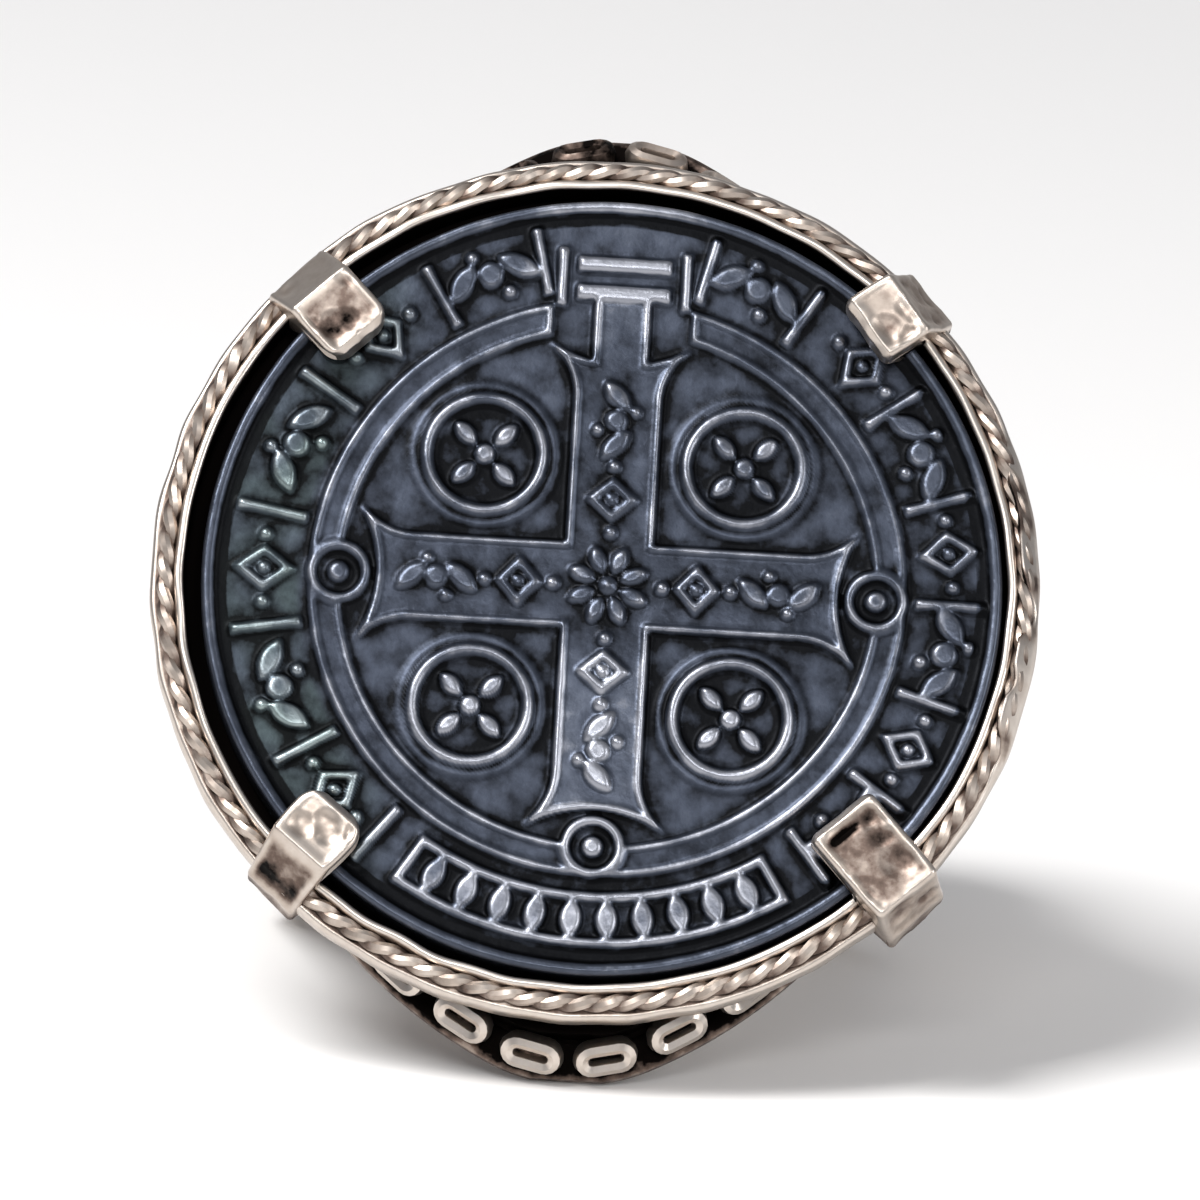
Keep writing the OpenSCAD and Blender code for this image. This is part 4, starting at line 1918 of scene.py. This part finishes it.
        # Darker down the leg below the flange: painted shade.
        foot = smooth_step(-plan[..., 1], -self.levels.flange, -self.levels.cup - 0.3) * 0.5
        brown = np.maximum(on_top * spot.brown_top, on_lean * spot.brown_side)[None, :] * in_middle
        # The nick's darkness is a painted shadow in it.
        dark = np.clip(0.12 + brown * (0.65 + 0.4 * dents) + nick + foot, 0, 1.4)
        return points.reshape(-1, 3), faces, dark.ravel()

    def dents(self, across: Array, outline_points: Array, seed: int) -> Array:
        """Strikes a claw's skin with a small hammer, a few times and at random.

        Args:
            across: places over the claw's width.
            outline_points: places along its section.
            seed: which blows it gets.

        Returns:
            How deep each point lies in a dent, from 0 to 1.
        """
        rng = np.random.default_rng(seed)
        found = np.zeros((len(across), len(outline_points)))
        for _ in range(self.blows):
            spot_u = rng.uniform(across[0], across[-1])
            spot_v = outline_points[rng.integers(len(outline_points))]
            reach = rng.uniform(*self.blow_r)
            away_v = ((outline_points - spot_v) ** 2).sum(axis=1)
            away = (across[:, None] - spot_u) ** 2 + away_v[None, :]
            found = np.maximum(found, np.clip(1 - away / reach**2, 0, 1))
        return found


def rounded_outline(corners: tuple[tuple[Pair, float], ...], spacing: float) -> Array:
    """Rounds the corners of a closed outline and divides its sides evenly.

    Args:
        corners: each corner's point and rounding, in order.
        spacing: largest distance between points.

    Returns:
        The outline's points, one row each.
    """
    ends = []
    count = len(corners)
    for k, (at, r) in enumerate(corners):
        here = np.array(at)
        before = np.array(corners[k - 1][0]) - here
        after = np.array(corners[(k + 1) % count][0]) - here
        before /= np.linalg.norm(before)
        after /= np.linalg.norm(after)
        back = r / math.tan(math.acos(float(before @ after)) / 2)
        part = np.linspace(0, 1, 6)[:, None]
        start = here + before * back
        stop = here + after * back
        ends.append((1 - part) ** 2 * start + 2 * part * (1 - part) * here + part**2 * stop)
    points = []
    for k, arc in enumerate(ends):
        points.append(arc)
        gap = ends[(k + 1) % count][0] - arc[-1]
        steps = max(1, math.ceil(np.linalg.norm(gap) / spacing))
        between = np.arange(1, steps)[:, None] / steps
        points.append(arc[-1] + gap * between)
    return np.concatenate(points)


@dataclass(frozen=True)
class SilverFinish:
    """Sterling silver, hand finished and oxidised: warm and soft-bright on its edges, where it is
    worn back, and brown to black in its recesses, where the black is partly painted shade. Its warm
    pinkish cast is partly a painted reflection of warm surroundings."""

    # The warm pinkish cast of these colours is partly a painted reflection of warm surroundings.
    bright: str = "#d2c9c0"
    dull: str = "#b3a69b"
    brown: str = "#6a5b53"
    black: str = "#0d0a09"
    roughness: float = 0.3
    tarnished_roughness: float = 0.6
    mottle_mm: float = 0.7
    # File marks are finer than this, and are drawn this coarse so that they show.
    scratch_mm: float = 0.3
    scratch_depth_mm: float = 0.03

    def build(self) -> Material:
        """Builds the material, which reads each piece's mark of oxide and painted shade.

        Returns:
            The material.
        """
        material = start_material("oxidised_sterling_silver")
        tree = material.node_tree
        place = add_node(tree, "ShaderNodeTexCoord").outputs["Object"]
        mottle, scratch = (
            add_node(tree, "ShaderNodeTexNoise", inputs=patches(place, size_mm, detail))
            for size_mm, detail in ((self.mottle_mm, 4.0), (self.scratch_mm, 3.0))
        )
        # The mark holds oxide and painted shade together.
        tarnish = add_node(tree, "ShaderNodeAttribute", {"attribute_name": "tarnish"})
        uneven = add_node(tree, "ShaderNodeMapRange", inputs=ranges(mottle, (0.3, 0.7), (0.6, 1.4)))
        in_scratch = add_node(
            tree, "ShaderNodeMapRange", inputs=ranges(scratch, (0.4, 0.75), (0.0, 0.1))
        )
        dark = add_node(
            tree,
            "ShaderNodeMath",
            {"operation": "MULTIPLY_ADD", "use_clamp": True},
            {0: tarnish.outputs["Fac"], 1: uneven, 2: in_scratch},
        )
        colour = add_node(tree, "ShaderNodeValToRGB", inputs={"Fac": dark})
        # The black end is oxide and also painted shade.
        stops = ((0.0, self.bright), (0.3, self.dull), (0.62, self.brown), (0.95, self.black))
        set_stops(colour, stops)
        rough = add_node(
            tree,
            "ShaderNodeMapRange",
            inputs=ranges(dark, (0.0, 1.0), (self.roughness, self.tarnished_roughness)),
        )
        bump = add_node(
            tree,
            "ShaderNodeBump",
            inputs={"Strength": 0.14, "Distance": self.scratch_depth_mm * MM, "Height": scratch},
        )
        look = {"Base Color": colour, "Metallic": 1.0, "Roughness": rough, "Normal": bump}
        return end_material(material, look)


@dataclass(frozen=True)
class BlackenedBronzeFinish:
    """Cast bronze with a blue-black patina: a dark soft gloss, worn back to a pale blue-grey on the
    relief's edges and greenish where damp stood on it. Its near-black at the relief's foot is
    partly painted shade, and its pale blue-grey also paints a sheen on the cross's foot and top,
    the top bars and the lower half."""

    # deep is oxide and painted shade at the relief's foot; the palest colour is worn metal and also
    # a painted sheen.
    deep: str = "#07080b"
    ground: str = "#3b404b"
    lifted: str = "#4a4f5a"
    pale_worn_and_sheen: str = "#94969e"
    green: str = "#62766e"
    roughness: float = 0.34
    ground_roughness: float = 0.46
    cloud_mm: float = 0.8
    # The sand's grain is finer than this, and is drawn this coarse so that it shows.
    grain_mm: float = 0.22
    grain_depth_mm: float = 0.04

    def build(self) -> Material:
        """Builds the material, which reads the marks of cavity, raised, patina, and worn metal with
        painted sheen.

        Returns:
            The material.
        """
        material = start_material("blackened_cast_bronze")
        tree = material.node_tree
        place = add_node(tree, "ShaderNodeTexCoord").outputs["Object"]
        cloud, grain = (
            add_node(tree, "ShaderNodeTexNoise", inputs=patches(place, size_mm, detail))
            for size_mm, detail in ((self.cloud_mm, 5.0), (self.grain_mm, 4.0))
        )
        cavity, raised, patina, polish = (
            add_node(tree, "ShaderNodeAttribute", {"attribute_name": name}).outputs["Fac"]
            for name in ("cavity", "raised", "patina", "polish")
        )
        # Sunk points go near-black as oxide and painted shade; raised edges go paler as worn metal.
        edges_and_recess_shade = add_node(
            tree, "ShaderNodeMapRange", inputs=ranges(cavity, (0.72, -1.15), (0.0, 0.8))
        )
        uneven = add_node(tree, "ShaderNodeMapRange", inputs=ranges(cloud, (0.3, 0.7), (-0.2, 0.2)))
        # Worn metal and painted sheen, in an uneven cloud.
        worn_sheen_and_cloud = add_node(
            tree, "ShaderNodeMath", {"operation": "MULTIPLY_ADD"}, {0: polish, 1: 0.4, 2: uneven}
        )
        # Runs from painted shade and oxide up to worn metal and painted sheen.
        shade_worn_and_sheen = add_node(
            tree, "ShaderNodeMath", {"operation": "ADD", "use_clamp": True}, {0: edges_and_recess_shade, 1: worn_sheen_and_cloud}
        )
        colour = add_node(tree, "ShaderNodeValToRGB", inputs={"Fac": shade_worn_and_sheen})
        stops = ((0.0, self.deep), (0.36, self.ground), (0.6, self.lifted), (1.0, self.pale_worn_and_sheen))
        set_stops(colour, stops)
        tint = add_node(
            tree,
            "ShaderNodeMix",
            {"data_type": "RGBA", "blend_type": "COLOR"},
            {"Factor": patina, "A": colour.outputs["Color"], "B": hex_to_linear(self.green)},
        ).outputs["Result"]
        rough = add_node(
            tree,
            "ShaderNodeMapRange",
            inputs=ranges(raised, (0.0, 1.0), (self.ground_roughness, self.roughness)),
        )
        bump = add_node(
            tree,
            "ShaderNodeBump",
            inputs={"Strength": 0.35, "Distance": self.grain_depth_mm * MM, "Height": grain},
        )
        look = {"Base Color": tint, "Metallic": 0.9, "Roughness": rough, "Normal": bump}
        return end_material(material, look)


@dataclass(frozen=True)
class TableFinish:
    """Pale matt painted board: an even ground without gloss, which shows the ring's shadow."""

    colour: str = "#f3f1ef"
    roughness: float = 0.75

    def build(self) -> Material:
        """Builds the material."""
        look = {"Base Color": hex_to_linear(self.colour), "Roughness": self.roughness}
        return end_material(start_material("pale_matt_paint"), look)


@dataclass(frozen=True)
class SoftLight:
    """One soft rectangular light.

    Args:
        name: what it is for.
        place: where it stands, in metres.
        size: its width and height, in metres.
        power: its power in watts.
    """

    name: str
    place: tuple[float, float, float]
    size: Pair
    power: float


@dataclass
class Studio:
    """A pale table that curves up behind the ring, soft lights and a long lens.

    Lengths are in metres here, and angles in degrees.
    """

    target: tuple[float, float, float] = (0.00015, -0.003, 0.01195)
    elevation: float = 13.4
    roll: float = 3.3
    distance: float = 0.5
    frame_width: float = 0.034
    sensor_mm: float = 36.0
    table_half_w: float = 1.2
    table_front: float = -0.9
    bend_from: float = 0.45
    bend_r: float = 0.25
    wall_top: float = 1.1
    world: str = "#b9bcc2"
    world_strength: float = 0.6
    lights: tuple[SoftLight, ...] = (
        SoftLight("key", (-0.18, -0.16, 0.34), (0.16, 0.16), 1.9),
        SoftLight("fill", (0.3, -0.2, 0.16), (0.12, 0.2), 0.5),
        SoftLight("sheen", (0.0, -0.34, 0.2), (0.14, 0.04), 0.35),
    )

    def build(self) -> None:
        """Builds the table, world, lights and camera."""
        self.build_table()
        self.build_world()
        for light in self.lights:
            self.build_light(light)
        self.build_camera()

    def build_table(self) -> None:
        """Builds the table as one sheet that curves up at the back."""
        bend = np.linspace(0, math.pi / 2, 17)
        r = self.bend_r
        run = [(self.table_front, 0.0)]
        run += [(self.bend_from + r * math.sin(a), r * (1 - math.cos(a))) for a in bend]
        run += [(self.bend_from + r, self.wall_top)]
        points = [(x, y, z) for y, z in run for x in (-self.table_half_w, self.table_half_w)]
        faces = [[2 * k, 2 * k + 1, 2 * k + 3, 2 * k + 2] for k in range(len(run) - 1)]
        mesh = bpy.data.meshes.new("table")
        mesh.from_pydata(points, [], faces)
        mesh.shade_smooth()
        mesh.materials.append(TableFinish().build())
        table = bpy.data.objects.new("table", mesh)
        bpy.context.scene.collection.objects.link(table)

    def build_world(self) -> None:
        """Builds an even pale surrounding light, shown with plain contrast."""
        world = bpy.data.worlds.new("studio")
        world.use_nodes = True
        tree = world.node_tree
        tree.nodes.clear()
        sky = add_node(
            tree,
            "ShaderNodeBackground",
            inputs={"Color": hex_to_linear(self.world), "Strength": self.world_strength},
        )
        add_node(tree, "ShaderNodeOutputWorld", inputs={"Surface": sky})
        bpy.context.scene.world = world
        bpy.context.scene.view_settings.view_transform = "Standard"

    def build_light(self, light: SoftLight) -> None:
        """Builds one soft light that faces the ring.

        Args:
            light: its name, place, size and power.
        """
        data = bpy.data.lights.new(light.name, "AREA")
        data.shape = "RECTANGLE"
        data.size, data.size_y = light.size
        data.energy = light.power
        lamp = bpy.data.objects.new(light.name, data)
        lamp.location = light.place
        away = Vector(self.target) - Vector(light.place)
        lamp.rotation_euler = away.to_track_quat("-Z", "Y").to_euler()
        bpy.context.scene.collection.objects.link(lamp)

    def build_camera(self) -> None:
        """Builds the long lens, turned a little so that the ring stands as in the photo."""
        data = bpy.data.cameras.new("long_lens")
        data.sensor_width = self.sensor_mm
        data.lens = self.sensor_mm * self.distance / self.frame_width
        data.clip_start = 0.01
        data.clip_end = 10.0
        camera = bpy.data.objects.new("long_lens", data)
        up = math.radians(self.elevation)
        towards = Vector((0.0, math.cos(up), -math.sin(up)))
        camera.location = Vector(self.target) - towards * self.distance
        roll = Quaternion((0.0, 0.0, 1.0), math.radians(self.roll))
        camera.rotation_euler = (towards.to_track_quat("-Z", "Y") @ roll).to_euler()
        bpy.context.scene.collection.objects.link(camera)
        bpy.context.scene.camera = camera


def main() -> None:
    """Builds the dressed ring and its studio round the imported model."""
    logging.basicConfig(level=logging.INFO, format="%(name)s: %(message)s")
    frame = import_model()
    ring = RingFrame.from_record(frame["record"])
    silver = SilverFinish().build()
    bronze = BlackenedBronzeFinish().build()
    Studio().build()
    finish_piece(Medallion().build(ring), "medallion", bronze)
    gallery = Gallery()
    bezel = Bezel()
    for piece in (
        Band().build(ring),
        gallery.build_plate(ring),
        gallery.build_loops(ring, silver),
        bezel.build(ring),
        bezel.build_rope(ring, silver),
        Claws().build(ring),
    ):
        finish_piece(piece, "setting", silver)


if __name__ == "__main__":
    main()
